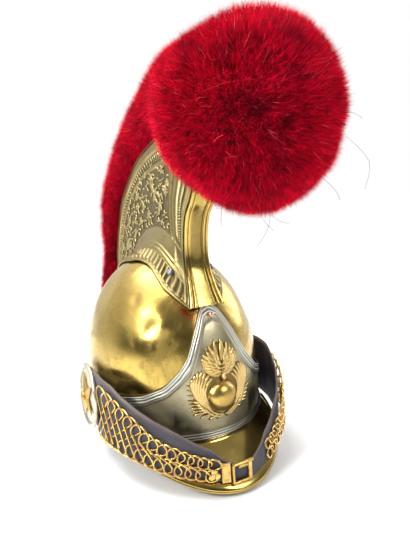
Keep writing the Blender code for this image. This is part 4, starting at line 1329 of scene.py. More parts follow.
    def side(self, across: Array, up: Array) -> Array:
        """Smooth side: across from front to back, up from the foot to the outer edge."""
        foot = self.foot_line(across)
        top = curve_through(self.outline(self.edge + self.heel), across)
        front = self.outline(self.front)
        start = self.foot_line(np.zeros_like(across))
        straight = start + (np.array(front[-1]) - start) * up[..., None]
        point = foot + (top - foot) * up[..., None]
        point = point + (curve_through(front, up) - straight) * ((1 - across) ** 2)[..., None]
        flare = np.clip(1 - up / self.flare, 0.0, 1.0)
        point[..., 0] = self.edge_half_width + (foot[..., 0] - self.edge_half_width) * flare ** 1.8
        return self.off_the_skull(point)

    @staticmethod
    def columns_spaced(across: Array) -> Array:
        """Columns drawn closer together towards the front."""
        return across ** 1.25

    def frame_distance(self, across: Array, up: Array) -> Array:
        """Distance inside the moulding that frames the field, rounded at its upper front corner."""
        inside = (across - self.field_start) * self.field_length
        below = (self.field_top - up) * self.field_height
        return self.field_corner - np.hypot(np.maximum(self.field_corner - inside, 0),
                                            np.maximum(self.field_corner - below, 0))

    def carving(self, across: Array, up: Array) -> tuple[Array, Array]:
        """Raised mouldings of the side.

        Args:
            across: Share from front to back.
            up: Share from foot to outer edge.

        Returns:
            The relief, from 0 to about 1, and the dirt and painted shade in it, from 0 to 1.
        """
        border = ease(self.border_from, self.border_from + 0.015, up)
        frame = self.frame_distance(across, up)
        double = ridges(frame, self.frame_ribs) * ease(0.27, 0.32, up)
        front = ridges(across, self.front_ribs) * ease(0.0, 0.05, up) * ease(1.0, 0.95, up)
        arcs = ridges(up, self.arc_ribs) * ease(0.05, 0.10, across)
        cove = ridges(up, self.cove) * ease(0.10, 0.14, across)
        wave = np.abs(np.sin(pi * (across * self.slanted_ribs + up * self.slant)))
        band = ease(0.030, 0.040, up) * ease(0.140, 0.128, up)
        band = band * ease(0.045, 0.06, across) * ease(0.90, 0.82, across)
        ribs = wave ** 0.8 * band * self.slanted_height
        twist = np.sin(across * self.rope_turns + up * self.rope_slant)
        rope = ridge(up, 0.014, 0.016) * (0.75 + 0.25 * twist)
        relief = np.maximum.reduce([border, double, front, arcs, cove, ribs, rope])
        field = ease(0.0045, 0.006, frame) * ease(0.32, 0.34, up)
        sunk = ease(0.0, -0.003, frame) * ease(self.border_from, 0.915, up) * ease(0.20, 0.30, up)
        grooves = band * (1 - wave) ** 1.2 * 1.6
        # Dirt and painted shade on the sunk ground and between the slanted ribs
        dirt = np.clip(self.dirt_and_shade_share * (field + sunk * (1 - front)) + grooves, 0, 1)
        return relief, dirt * (1 - np.clip(relief * 1.2 * (band < 0.5), 0, 1))

    def face(self, across: Array, up: Array) -> Array:
        """Side with its mouldings and a rough ground between them."""
        spaced = self.columns_spaced(across)
        relief, dirt = self.carving(spaced, up)
        rough = 0.00025 * waviness(self.side(spaced, up), 0.006, 21) * dirt
        return lifted(self.side, spaced, up, relief * self.relief + rough)

    def side_recess(self, across: Array, up: Array) -> Array:
        """Dirt and painted shade on the side."""
        return self.carving(self.columns_spaced(across), up)[1]

    def flat_spot(self, across: float, up: float) -> Flat:
        """Place on the flat part of the side, as metres back and up."""
        spot = self.side(np.array([across]), np.array([up]))[0]
        return (float(spot[1]), float(spot[2]))

    def foliage(self) -> list[Blade]:
        """Leaves of the field: sprays, and small leaves between them.

        Returns:
            The blades, laid out back and up.
        """
        rng = np.random.default_rng(5)
        made = []
        for across, up, bearing, spread, count, length in self.sprays:
            root = self.flat_spot(across, up)
            for index in range(count):
                turn = radians(bearing + spread * (index / (count - 1) - 0.5))
                long = length * (1.25 - 0.35 * (index % 2))
                tip = (root[0] + long * cos(turn), root[1] + long * sin(turn))
                bow = 0.28 if index * 2 < count else -0.28
                made.append(straight_blade(root, tip, bow, 0.0010 + length * 0.025, 0.0018, Tip.EVEN, 0.35))
        for across in np.arange(*self.filling_across):
            for up in np.arange(*self.filling_up):
                root = self.flat_spot(across + rng.uniform(-0.02, 0.02), up + rng.uniform(-0.015, 0.015))
                turn = radians(70 - 60 * across + 55 * sin(up * 25) + rng.uniform(-35, 35))
                long = rng.uniform(0.0055, 0.0090)
                tip = (root[0] + long * cos(turn), root[1] + long * sin(turn))
                made.append(straight_blade(root, tip, rng.uniform(-0.5, 0.5), 0.0012, 0.0016, Tip.ROUND))
        return made

    def border_leaves(self) -> list[Blade]:
        """Small leaves between the outer edge and the moulding, and along the front.

        Returns:
            The blades.
        """
        made = []
        for index in range(self.border_leaf_count):
            share = 0.035 + 0.94 * index / self.border_leaf_count
            root = self.flat_spot(share, 0.868)
            tip = self.flat_spot(share + 0.008, 0.918)
            made.append(straight_blade(root, tip, 0.2, 0.0013, 0.0016, Tip.ROUND))
            bead = self.flat_spot(share + 0.006, 0.862)
            made.append(straight_blade(bead, (bead[0] + 0.0022, bead[1] + 0.0004), 0.0, 0.0010, 0.0014,
                                       Tip.EVEN))
        for index in range(self.front_leaf_count):
            level = 0.37 + 0.49 * index / self.front_leaf_count
            stem = self.flat_spot(0.082, level)
            for lean in (-1, 1):
                leaf = self.flat_spot(0.082 + lean * 0.030, level + 0.026)
                made.append(straight_blade(stem, leaf, 0.18 * lean, 0.0012, 0.0016, Tip.ROUND))
        return made

    def on_side(self, side: Side) -> Mapping:
        """Surface that the leaves lie on.

        Args:
            side: Which side of the comb.

        Returns:
            Function from back, up and height to points.
        """
        def surface(back: Array, up: Array, height: Array) -> Array:
            """Flat face of the comb at a height off it."""
            return stacked(side.value * (self.edge_half_width + height), back, up)

        return surface

    def strip_point(self, line: Sequence[Sequence[float]], share: Array, across: Array,
                    lift: Array) -> Array:
        """Points over a line in the middle plane.

        Args:
            line: The line.
            share: Where along it.
            across: Distance sideways.
            lift: Distance outwards.

        Returns:
            The points.
        """
        step = 0.01
        after, before = np.minimum(share + step, 1), np.maximum(share - step, 0)
        ahead = curve_through(line, after) - curve_through(line, before)
        outward = unit(stacked(0.0, -ahead[..., 2], ahead[..., 1]))
        point = curve_through(line, share) + outward * lift[..., None]
        point[..., 0] += across
        return point

    def strip(self, across: Array, up: Array) -> Array:
        """Polished strip down the front: a crowned middle between two pairs of ribs."""
        foot = self.side(np.zeros_like(up), up)[..., 0]
        span = 2 * across - 1
        aside = np.abs(span)
        crown = self.strip_bulge * (1 - (aside / 0.50).clip(0, 1) ** 2)
        crown = crown * (0.10 + 0.35 * ease(0.25, 0.45, up))
        ribs = ridges(aside, self.strip_ribs) * self.strip_rib_height
        return self.strip_point(self.outline(self.front), up, span * (foot + self.relief),
                                GAP + self.relief + self.strip_wall + crown + ribs)

    def strip_recess(self, across: Array, up: Array) -> Array:
        """Dirt and painted shade beside the strip's ribs, and a dark stain down the middle of its upper
        part.
        """
        aside = np.abs(2 * across - 1)
        grooves = np.clip(0.9 - ridges(aside, self.strip_ribs) * 1.8, 0, 1) * (aside > 0.49)
        stain = 0.62 * ease(0.50, 0.40, aside) * ease(0.30, 0.36, up) * ease(0.72, 0.60, up)
        return np.maximum(grooves, stain)

    def build(self, looks: Finishes) -> None:
        """Build both sides, their leaves, the strip and the screws.

        Args:
            looks: The materials.
        """
        # Leaves with their dirt, painted shade and painted highlight toned down
        work = BladeWork(6, 6, stain=0.9, shine=0.40)
        for side in Side:
            name = side.label

            def face(across: Array, up: Array) -> Array:
                """This side's face."""
                return self.face(across, up) * (side.value, 1.0, 1.0)

            bm = sheet(self.columns, self.rows, face, self.side_recess)
            face_out(bm, side is Side.RIGHT)
            return_edge(bm, Vector((0.0, 0.03, 0.2)), self.wall)
            piece(f"comb_side_{name}", bm, looks.comb, [f"comb_{name}"])
            leaves = self.foliage() + self.border_leaves()
            mesh = work.mesh(f"comb_leaves_{name}", leaves, self.on_side(side), side is Side.RIGHT)
            piece_from(f"comb_leaves_{name}", mesh, looks.comb)
            self.build_screw(side, looks)
        strip = sheet(80, 110, self.strip, self.strip_recess)
        piece("comb_front_strip", strip, looks.polished, ["comb_front"],
              wall=self.strip_wall)

    def build_screw(self, side: Side, looks: Finishes) -> None:
        """Domed steel screw with its slot.

        Args:
            side: Which side of the comb.
            looks: The materials.
        """
        across, up, small = np.array([self.screw_spot[0]]), np.array([self.screw_spot[1]]), 0.01
        there = self.side(across + small, up) - self.side(across - small, up)
        upward = self.side(across, up + small) - self.side(across, up - small)
        normal = unit(np.cross(there, upward))[0]
        seat = self.side(across, up)[0] + normal * (self.relief + self.screw_radius * 0.5)
        bm = bmesh.new()
        bmesh.ops.create_uvsphere(bm, u_segments=24, v_segments=16, radius=self.screw_radius)
        for vert in bm.verts:
            vert.co.z *= 0.5
            if abs(vert.co.x) < 0.0005 and vert.co.z > 0:
                vert.co.z -= self.screw_slot
        turn = Vector(normal.tolist()).to_track_quat("Z", "Y").to_matrix().to_4x4()
        bmesh.ops.transform(bm, matrix=Matrix.Translation(seat.tolist()) @ turn, verts=bm.verts)
        if side is Side.RIGHT:
            bmesh.ops.transform(bm, matrix=Matrix.Scale(-1, 4, Vector((1, 0, 0))), verts=bm.verts)
        face_out(bm, side is Side.RIGHT)
        piece(f"steel_screw_{side.label}", bm, looks.steel, [f"comb_screw_{side.label}"])


@dataclass
class Brim:
    """Flared brim around the skull, worked out with straight ahead along +Y."""

    skull: Skull
    half_width: float
    reach: float
    middle: float
    tip_z: float
    side_rise: float
    level_share: float = 0.0
    wall: float = 0.0012
    exponent: float = 1.94
    collar: float = 0.0024

    def edge_at(self, bearing: Array) -> Array:
        """Distance of the outer edge from the brim's middle."""
        wide = np.abs(np.sin(bearing)) / self.half_width
        long = np.abs(np.cos(bearing)) / self.reach
        return (wide ** self.exponent + long ** self.exponent) ** (-1 / self.exponent)

    def root_at(self, bearing: Array) -> Array:
        """Distance of the skull's wall from the brim's middle."""
        wide = self.skull.half_width + SEAT + self.wall
        long = self.skull.half_length + SEAT + self.wall
        a = (np.sin(bearing) / wide) ** 2 + (np.cos(bearing) / long) ** 2
        b = 2 * np.cos(bearing) * self.middle / long ** 2
        c = (self.middle / long) ** 2 - 1
        return (-b + np.sqrt(b * b - 4 * a * c)) / (2 * a)

    def surface(self, bearing: Array, out: Array) -> Array:
        """Upper face: out from 0 at the skull to 1 at the edge."""
        root = self.root_at(bearing)
        edge = np.maximum(self.edge_at(bearing), root + self.wall)
        radius = root + (edge - root) * out
        aside = np.abs(edge * np.sin(bearing)) / self.half_width - self.level_share
        edge_z = self.tip_z + self.side_rise * (np.maximum(aside, 0.0) / (1 - self.level_share)) ** 2
        height = self.skull.rim_z + (edge_z - self.skull.rim_z) * out
        return stacked(radius * np.sin(bearing), self.middle + radius * np.cos(bearing), height)

    def slope(self, bearing: Array) -> Array:
        """Length along the brim for each step outwards."""
        start, end = (self.surface(bearing, np.full_like(bearing, out)) for out in (0.0, 1.0))
        run = np.hypot(end[..., 0] - start[..., 0], end[..., 1] - start[..., 1])
        return np.minimum(np.hypot(1.0, (start[..., 2] - end[..., 2]) / run), 2.5)


@dataclass
class Brims:
    """Visor with its rolled rim, and the neck guard."""

    visor: Brim
    guard: Brim
    rim_width: float = 0.0090
    rim_turn: float = pi * 20 / 24
    visor_end: float = 0.985
    collar_from: float = 0.9
    dents: float = 0.00035
    columns: int = 132
    rows: int = 22
    rim_rows: int = 12

    def collared(self, brim: Brim, turned: bool, last: float) -> Placing:
        """Placing of a brim from its edge in to the skull and up its collar.

        Args:
            brim: The brim.
            turned: Whether it faces the front.
            last: Share where its edge lies.

        Returns:
            The placing.
        """
        sign = -1.0 if turned else 1.0

        def place(across: Array, up: Array) -> Array:
            """Brim, and its collar past the share where it starts."""
            bearing = (across - 0.5) * pi
            out = last * np.clip(1 - up / self.collar_from, 0, 1)
            points = brim.surface(bearing, out)
            points[..., 2] += brim.collar * np.clip((up - self.collar_from) / (1 - self.collar_from), 0, 1)
            uneven = waviness(points, 0.045, 31) * ease(0.0, 0.3, out) * ease(0.1, 0.3, up)
            points[..., 2] += self.dents * uneven
            if not turned:
                points[..., 2] = np.maximum(points[..., 2], brim.wall)
            return points * (sign, sign, 1.0)

        return place

    def rim(self, across: Array, up: Array) -> Array:
        """Rolled bead on the visor's edge: up runs from its outer edge inwards."""
        bearing = (across - 0.5) * self.rim_turn
        ahead = self.visor.reach - self.visor.root_at(np.zeros(1))[0]
        out = 1 - self.rim_width / ahead * up
        points = self.visor.surface(bearing, out)
        bead = 0.0009 * ridge(up, 0.42, 0.42) - 0.0007 * ease(0.25, 0.0, up) + 0.0006 * ridge(up, 0.93, 0.07)
        points[..., 2] += (GAP + RIM_THICKNESS) * self.visor.slope(bearing) + bead
        return points * (-1.0, -1.0, 1.0)

    def build(self, looks: Finishes) -> None:
        """Build the visor, its rim and the neck guard.

        Args:
            looks: The materials.
        """
        front = self.collared(self.visor, True, self.visor_end)
        back = self.collared(self.guard, False, 1.0)
        sheets = (("visor_sheet", "visor", self.rows, front, self.visor.wall),
                  ("visor_bead", "visor_rim", self.rim_rows, self.rim, RIM_THICKNESS),
                  ("neck_guard_sheet", "neck_guard", self.rows, back, self.guard.wall))
        for name, node, rows, place, wall in sheets:
            bm = sheet(self.columns, rows, place)
            self.upright(bm)
            piece(name, bm, looks.polished, [node], wall=wall)

    @staticmethod
    def upright(bm: BMesh) -> None:
        """Turn the faces up, as seen from above."""
        bmesh.ops.recalc_face_normals(bm, faces=bm.faces)
        if sum(face.normal.z * face.calc_area() for face in bm.faces) < 0:
            bmesh.ops.reverse_faces(bm, faces=bm.faces)


@dataclass
class Strap:
    """Leather chin strap fastened over the visor, with its chains, buckle and end plate."""

    visor: Brim
    half_width: float = 0.104
    middle_y: float = -0.008
    reach: float = 0.144
    exponent: float = 0.90
    front_bulge: float = 0.0045
    bulge_half_width: float = 0.024
    tuck: float = 0.0042
    leather: float = 0.0018
    rear_top_z: float = 0.105
    rear_foot_z: float = 0.034
    meeting_turn: float = radians(-10.6)
    leather_columns: int = 170
    leather_rows: int = 10
    chain_wire: float = 0.0024
    chain_links: int = 14
    wire_steps: int = 60
    wire_sides: int = 7
    wire_radius: float = 0.00092
    loop_radius: float = 0.0074
    loop_stretch: tuple[float, float] = (1.10, 1.60)
    threading: float = 0.00100
    chain_rear: float = radians(76)
    left_rise: float = 0.0055
    left_bow: float = 0.0038
    seated_share: float = 0.4
    chain_front_right: float = radians(-14.4)
    chain_front_left: float = radians(15.5)
    plate_width: float = 0.0085
    plate_height: float = 0.0200
    plate_wall: float = 0.0014
    buckle_turn: float = radians(-2.9)
    buckle_rise: float = 0.0100
    buckle_lift: float = 0.0015
    # Each bar of the buckle: its middle, sideways and up, its width and height, and its thickness
    buckle_bars: tuple[tuple[Flat, Flat, float], ...] = (
        ((0.0010, 0.0088), (0.0225, 0.0024), 0.0030), ((0.0, -0.0088), (0.0205, 0.0024), 0.0030),
        ((-0.0092, 0.0), (0.0021, 0.0200), 0.0030), ((0.0084, -0.0008), (0.0038, 0.0184), 0.0026))
    tongue_bar: tuple[Flat, Flat, float] = ((0.0012, 0.0058), (0.0105, 0.0030), 0.0026)
    lobe_radius: float = 0.0030
    lobe_proud: float = 0.0010
    rivet_radius: float = 0.0013
    # Each edge: share of the way from the front to the side, and share of the rear height
    top_edge: Outline = ((0.0, 0.27), (0.07, 0.295), (0.13, 0.35), (0.17, 0.43), (0.27, 0.52),
                                  (0.355, 0.61), (0.455, 0.69), (0.525, 0.75), (0.67, 0.876),
                                  (0.735, 0.95), (0.88, 0.99), (1.0, 0.97))
    foot_edge: Outline = ((0.0, 0.28), (0.12, 0.38), (0.22, 0.45), (0.28, 0.51), (0.40, 0.67),
                                   (0.48, 0.77), (0.60, 0.85), (0.73, 0.97), (1.0, 1.1))
    chain_edge: Outline = ((0.0, 0.26), (0.16, 0.36), (0.27, 0.41), (0.37, 0.48), (0.45, 0.53),
                                    (0.525, 0.60), (0.61, 0.72), (0.73, 0.85), (0.85, 0.93), (1.0, 0.96))

    @staticmethod
    def from_front(turn: Array) -> Array:
        """Share of the way from the front to the side."""
        return np.abs(turn) / radians(90)

    def plan(self, turn: Array) -> Array:
        """Inner face seen from above."""
        side = np.abs(np.sin(turn)) * self.half_width
        tucked = side - self.tuck * ease(0.78, 1.0, self.from_front(turn))
        bulge = self.front_bulge * 2.0 ** (-(side / self.bulge_half_width) ** 2)
        ahead = self.middle_y - self.reach * np.clip(np.cos(turn), 0, 1) ** self.exponent - bulge
        return stacked(np.where(turn >= 0, tucked, -tucked), ahead, 0.0)

    def point(self, turn: Array, height: Array, off: Array | float) -> Array:
        """Points off the inner face at a turn and a height."""
        step, limit = radians(0.8), radians(90)
        there = self.plan(np.minimum(turn + step, limit)) - self.plan(np.maximum(turn - step, -limit))
        outward = unit(stacked(there[..., 1], -there[..., 0], 0.0))
        return self.plan(turn) + outward * np.asarray(off)[..., None] + stacked(0.0, 0.0, height)

    def visor_top(self, points: Array) -> Array:
        """Height of the visor's rim under places seen from above."""
        ahead = -points[..., 1] - self.visor.middle
        bearing = np.arctan2(-points[..., 0], ahead)
        radius = np.hypot(points[..., 0], ahead)
        edge, root = self.visor.edge_at(bearing), self.visor.root_at(bearing)
        out = (radius - root) / (edge - root)
        lift = (GAP + RIM_THICKNESS) * self.visor.slope(bearing)
        over = self.visor.surface(bearing, out)[..., 2] + lift
        return np.where((radius > edge + self.visor.wall) | (radius < root), 0.0, over)

    def foot(self, turn: Array) -> Array:
        """Lower edge, which rests on the visor where it passes over it."""
        plain = self.rear_foot_z * soft_table(self.foot_edge, self.from_front(turn))
        return np.maximum(plain, self.visor_top(self.plan(turn)) + GAP + SEAT)

    def top(self, turn: Array) -> Array:
        """Upper edge."""
        return self.rear_top_z * soft_table(self.top_edge, self.from_front(turn))

    def build_leather(self, looks: Finishes) -> None:
        """Both lengths of the strap.

        Args:
            looks: The materials.
        """
        spans = (("right", radians(-90), self.meeting_turn - GAP / self.half_width),
                 ("left", self.meeting_turn, radians(90)))
        for name, start, end in spans:

            def place(across: Array, up: Array) -> Array:
                """Outer face of this length."""
                turn = start + (end - start) * across
                foot, top = self.foot(turn), self.top(turn)
                swell = 0.0003 * ridge(up, 0.5, 0.5)
                uneven = 0.00025 * waviness(stacked(turn * 0.12, 0.0, up * 0.02), 0.022, 41)
                return self.point(turn, foot + (top - foot) * up, self.leather + swell + uneven)

            def edges(across: Array, up: Array) -> Array:
                """Brown of the cut edges."""
                return ease(0.90, 1.0, up) * 0.9 + 0.0 * across

            bm = sheet(self.leather_columns, self.leather_rows, place, edges)
            bmesh.ops.recalc_face_normals(bm, faces=bm.faces)
            self.outwards(bm)
            piece(f"strap_leather_{name}", bm, looks.leather, [f"strap_{name}"],
                  wall=self.leather)

    @staticmethod
    def outwards(bm: BMesh) -> None:
        """Turn the faces away from the skull."""
        if sum(face.normal.xy.dot(face.calc_center_median().xy) * face.calc_area() for face in bm.faces) < 0:
            bmesh.ops.reverse_faces(bm, faces=bm.faces)

    def slack(self, turn: Array) -> Array:
        """Share of its full sag that the left chain has at a turn."""
        share = np.clip((turn - self.chain_front_left) / (self.chain_rear - self.chain_front_left), 0, 1)
        return np.maximum(0.0, np.sin(pi * share) - self.seated_share) / (1 - self.seated_share)

    def chain_span(self, turn: Array) -> tuple[Array, Array]:
        """Height of the middle of the chain at a turn, and half of its own height."""
        foot = self.foot(turn) + self.chain_wire * 0.3
        top = self.rear_top_z * soft_table(self.chain_edge, self.from_front(turn)) + 0.0006
        return (foot + top) / 2 + self.left_rise * self.slack(turn), (top - foot) / 2

    def link_line(self, share: Array, half: Array) -> tuple[Array, Array, Array]:
        """Centre line of a figure-eight link: two round loops whose wires cross between them.

        Args:
            share: Where along the wire, from 0 to 1.
            half: Half of the link's height.

        Returns:
            Distances sideways, up and outwards from the link's middle.
        """
        radius = np.minimum(self.loop_radius, half * 0.48)
        reach = half - radius
        lean = np.arcsin(radius / reach)
        run = reach * np.cos(lean)
        arc, line = 2 * (pi / 2 + lean) * radius, 2 * run
        at = (share % 1.0) * 2 * (arc + line)
        lower = at >= arc + line
        at = np.where(lower, at - arc - line, at)
        curved = at < arc
        turn = pi / 2 + lean - at / radius
        step = 2 * (at - arc) / line - 1
        aside = np.where(curved, radius * np.sin(turn), step * run * np.sin(lean))
        over = np.where(curved, reach + radius * np.cos(turn), -step * run * np.cos(lean))
        flip = np.where(lower, -1.0, 1.0)
        thread = np.where(curved, np.sin(2 * turn), np.sin(2 * lean)) * self.threading
        return aside, over * flip, thread * flip

    def build_chain(self, side: Side, looks: Finishes) -> None:
        """Figure-eight links of round wire, each threaded through the next.

        Args:
            side: Which side of the strap.
            looks: The materials.
        """
        name = side.label
        front = self.chain_front_left if side is Side.LEFT else self.chain_front_right
        rear = self.chain_rear * side.value
        shares = (np.arange(self.chain_links) + 0.5) / self.chain_links
        middles = (front + (rear - front) * shares)[:, None]
        bm = grid(self.wire_sides, self.wire_steps)
        for vert in bm.verts:
            run, turn = (vert.co.y + 0.5) * 2 * pi, (vert.co.x + 0.5) * 2 * pi
            vert.co = (cos(run) * (2 + cos(turn)), sin(run) * (2 + cos(turn)), sin(turn))
        bmesh.ops.remove_doubles(bm, verts=bm.verts, dist=0.0001)
        bmesh.ops.recalc_face_normals(bm, faces=bm.faces)
        bm.verts.index_update()
        spots = corners_of(bm)
        run = (np.arctan2(spots[:, 1], spots[:, 0]) / (2 * pi))[None, :]
        around = np.arctan2(spots[:, 2], np.hypot(spots[:, 0], spots[:, 1]) - 2)[None, :]
        height, half = self.chain_span(middles)
        step, reach = radians(0.5), radians(6)
        speed = np.linalg.norm(self.plan(middles + step) - self.plan(middles - step), axis=-1) / (2 * step)
        climb = self.chain_span(middles + reach)[0] - self.chain_span(middles - reach)[0]
        climb = climb / (2 * reach * speed)
        flat, rise = 1 / np.hypot(1, climb), climb / np.hypot(1, climb)
        stretch = np.interp(np.abs(middles), (abs(front), abs(rear)), self.loop_stretch)

        def centre(share: Array) -> Array:
            """Centre line of every link."""
            aside, over, thread = self.link_line(share, half * flat)
            turn = middles + (aside * stretch * flat - over * rise) / speed
            level = height + aside * stretch * rise + over * flat
            off = self.leather + GAP + self.wire_radius + self.threading + thread
            return self.point(turn, level, off + self.left_bow * self.slack(turn))

        line = centre(run)
        ahead = unit(centre(run + 0.004) - centre(run - 0.004))
        bearing = stacked(line[..., 0], line[..., 1] - self.middle_y, 0.0)
        outward = unit(bearing - (bearing * ahead).sum(-1, keepdims=True) * ahead)
        aside = np.cross(ahead, outward)
        ring = outward * np.cos(around)[..., None] + aside * np.sin(around)[..., None]
        mesh = joined_copies(f"chain_links_{name}", bm, line + ring * self.wire_radius, {})
        piece_from(f"chain_links_{name}", mesh, looks.chain, [f"chain_{name}"])

    def build_fittings(self, looks: Finishes) -> None:
        """End plate and trefoil of the right chain, and the buckle with its short tongue.

        Args:
            looks: The materials.
        """
        end_turn = self.chain_front_right + (self.chain_wire + self.plate_width / 2) / self.half_width
        foot = float(self.foot(np.array([end_turn]))[0])
        half = self.plate_width / 2 / (self.reach + self.front_bulge) * self.reach / self.half_width

        def plate(across: Array, up: Array) -> Array:
            """Face of the end plate with a raised border."""
            turn = end_turn + (2 * across - 1) * half
            rim = np.maximum(np.abs(2 * across - 1), np.abs(2 * up - 1))
            raised = 0.0005 * ease(0.62, 0.72, rim) - 0.0005 * ease(0.93, 1.0, rim)
            off = self.leather + GAP + self.plate_wall + raised
            return self.point(turn, foot + up * self.plate_height, off)

        bm = sheet(16, 30, plate)
        self.outwards(bm)
        piece("end_plate", bm, looks.chain, ["chain_end_plate"], wall=self.plate_wall,
              sharp=radians(40))
        self.build_trefoil(looks)
        turn = np.array([self.buckle_turn])
        lift = self.leather + GAP + self.buckle_lift
        middle = self.point(turn, self.foot(turn) + self.buckle_rise, lift)[0]
        seat = Matrix.Translation(middle.tolist()) @ Matrix.Rotation(self.buckle_turn, 4, "Z")
        buckle, tongue = bmesh.new(), bmesh.new()
        for bar in self.buckle_bars:
            self.add_bar(buckle, seat, *bar)
        piece("buckle_frame", buckle, looks.chain, ["buckle"], sharp=radians(50))
        self.add_bar(tongue, seat, *self.tongue_bar)
        piece("buckle_tongue", tongue, looks.polished, sharp=radians(50))

    def build_trefoil(self, looks: Finishes) -> None:
        """Three round lobes and a rivet that end the right chain.

        Args:
            looks: The materials.
        """
        turn = np.array([self.chain_front_right - radians(1.9)])
        level = (self.foot(turn) + 2 * self.chain_span(turn)[0]) / 3 + 0.001
        middle = self.point(turn, level, self.leather + GAP + 2 * self.wire_radius + 0.0022)[0]
        lean = Matrix.Rotation(float(turn[0]), 4, "Z") @ Matrix.Rotation(pi / 2, 4, "X")
        seat = Matrix.Translation(middle.tolist()) @ lean
        bm = bmesh.new()
        across = self.lobe_radius
        for bearing, out, proud in ((90, across, self.lobe_proud), (210, across, self.lobe_proud),
                                    (330, across, self.lobe_proud), (0, 0.0, self.lobe_proud + 0.0003)):
            place = (out * cos(radians(bearing)), out * sin(radians(bearing)), 0.0)
            add_ball(bm, 20, 12, 1.0, place, (across, across, proud))
        bmesh.ops.transform(bm, matrix=seat, verts=bm.verts)
        piece("chain_trefoil", bm, looks.chain)
        rivet = bmesh.new()
        add_ball(rivet, 16, 10, self.rivet_radius, (0.0, 0.0, self.lobe_proud))
        bmesh.ops.transform(rivet, matrix=seat, verts=rivet.verts)
        piece("chain_rivet", rivet, looks.copper)

    @staticmethod
    def add_bar(bm: BMesh, seat: Matrix, place: Flat, size: Flat, deep: float) -> None:
        """Add a bar with rounded edges.

        Args:
            bm: Mesh to add it to.
            seat: Where the buckle lies.
            place: Its middle, sideways and up.
            size: Its width and height.
            deep: Its thickness.
        """
        made = bmesh.ops.create_cube(bm, size=1.0)["verts"]
        bmesh.ops.scale(bm, verts=made, vec=(size[0], deep, size[1]))
        bmesh.ops.translate(bm, verts=made, vec=(place[0], 0.0, place[1]))
        bmesh.ops.transform(bm, matrix=seat, verts=made)
        edges = list({edge for vert in made for edge in vert.link_edges})
        bmesh.ops.bevel(bm, geom=edges, offset=deep * 0.32, offset_type="OFFSET", segments=3, profile=0.5,
                        affect="EDGES", material=-1, clamp_overlap=True)

    def build(self, looks: Finishes) -> None:
        """Build the strap and all that is on it.

        Args:
            looks: The materials.
        """
        self.build_leather(looks)
        for side in Side:
            self.build_chain(side, looks)
        self.build_fittings(looks)


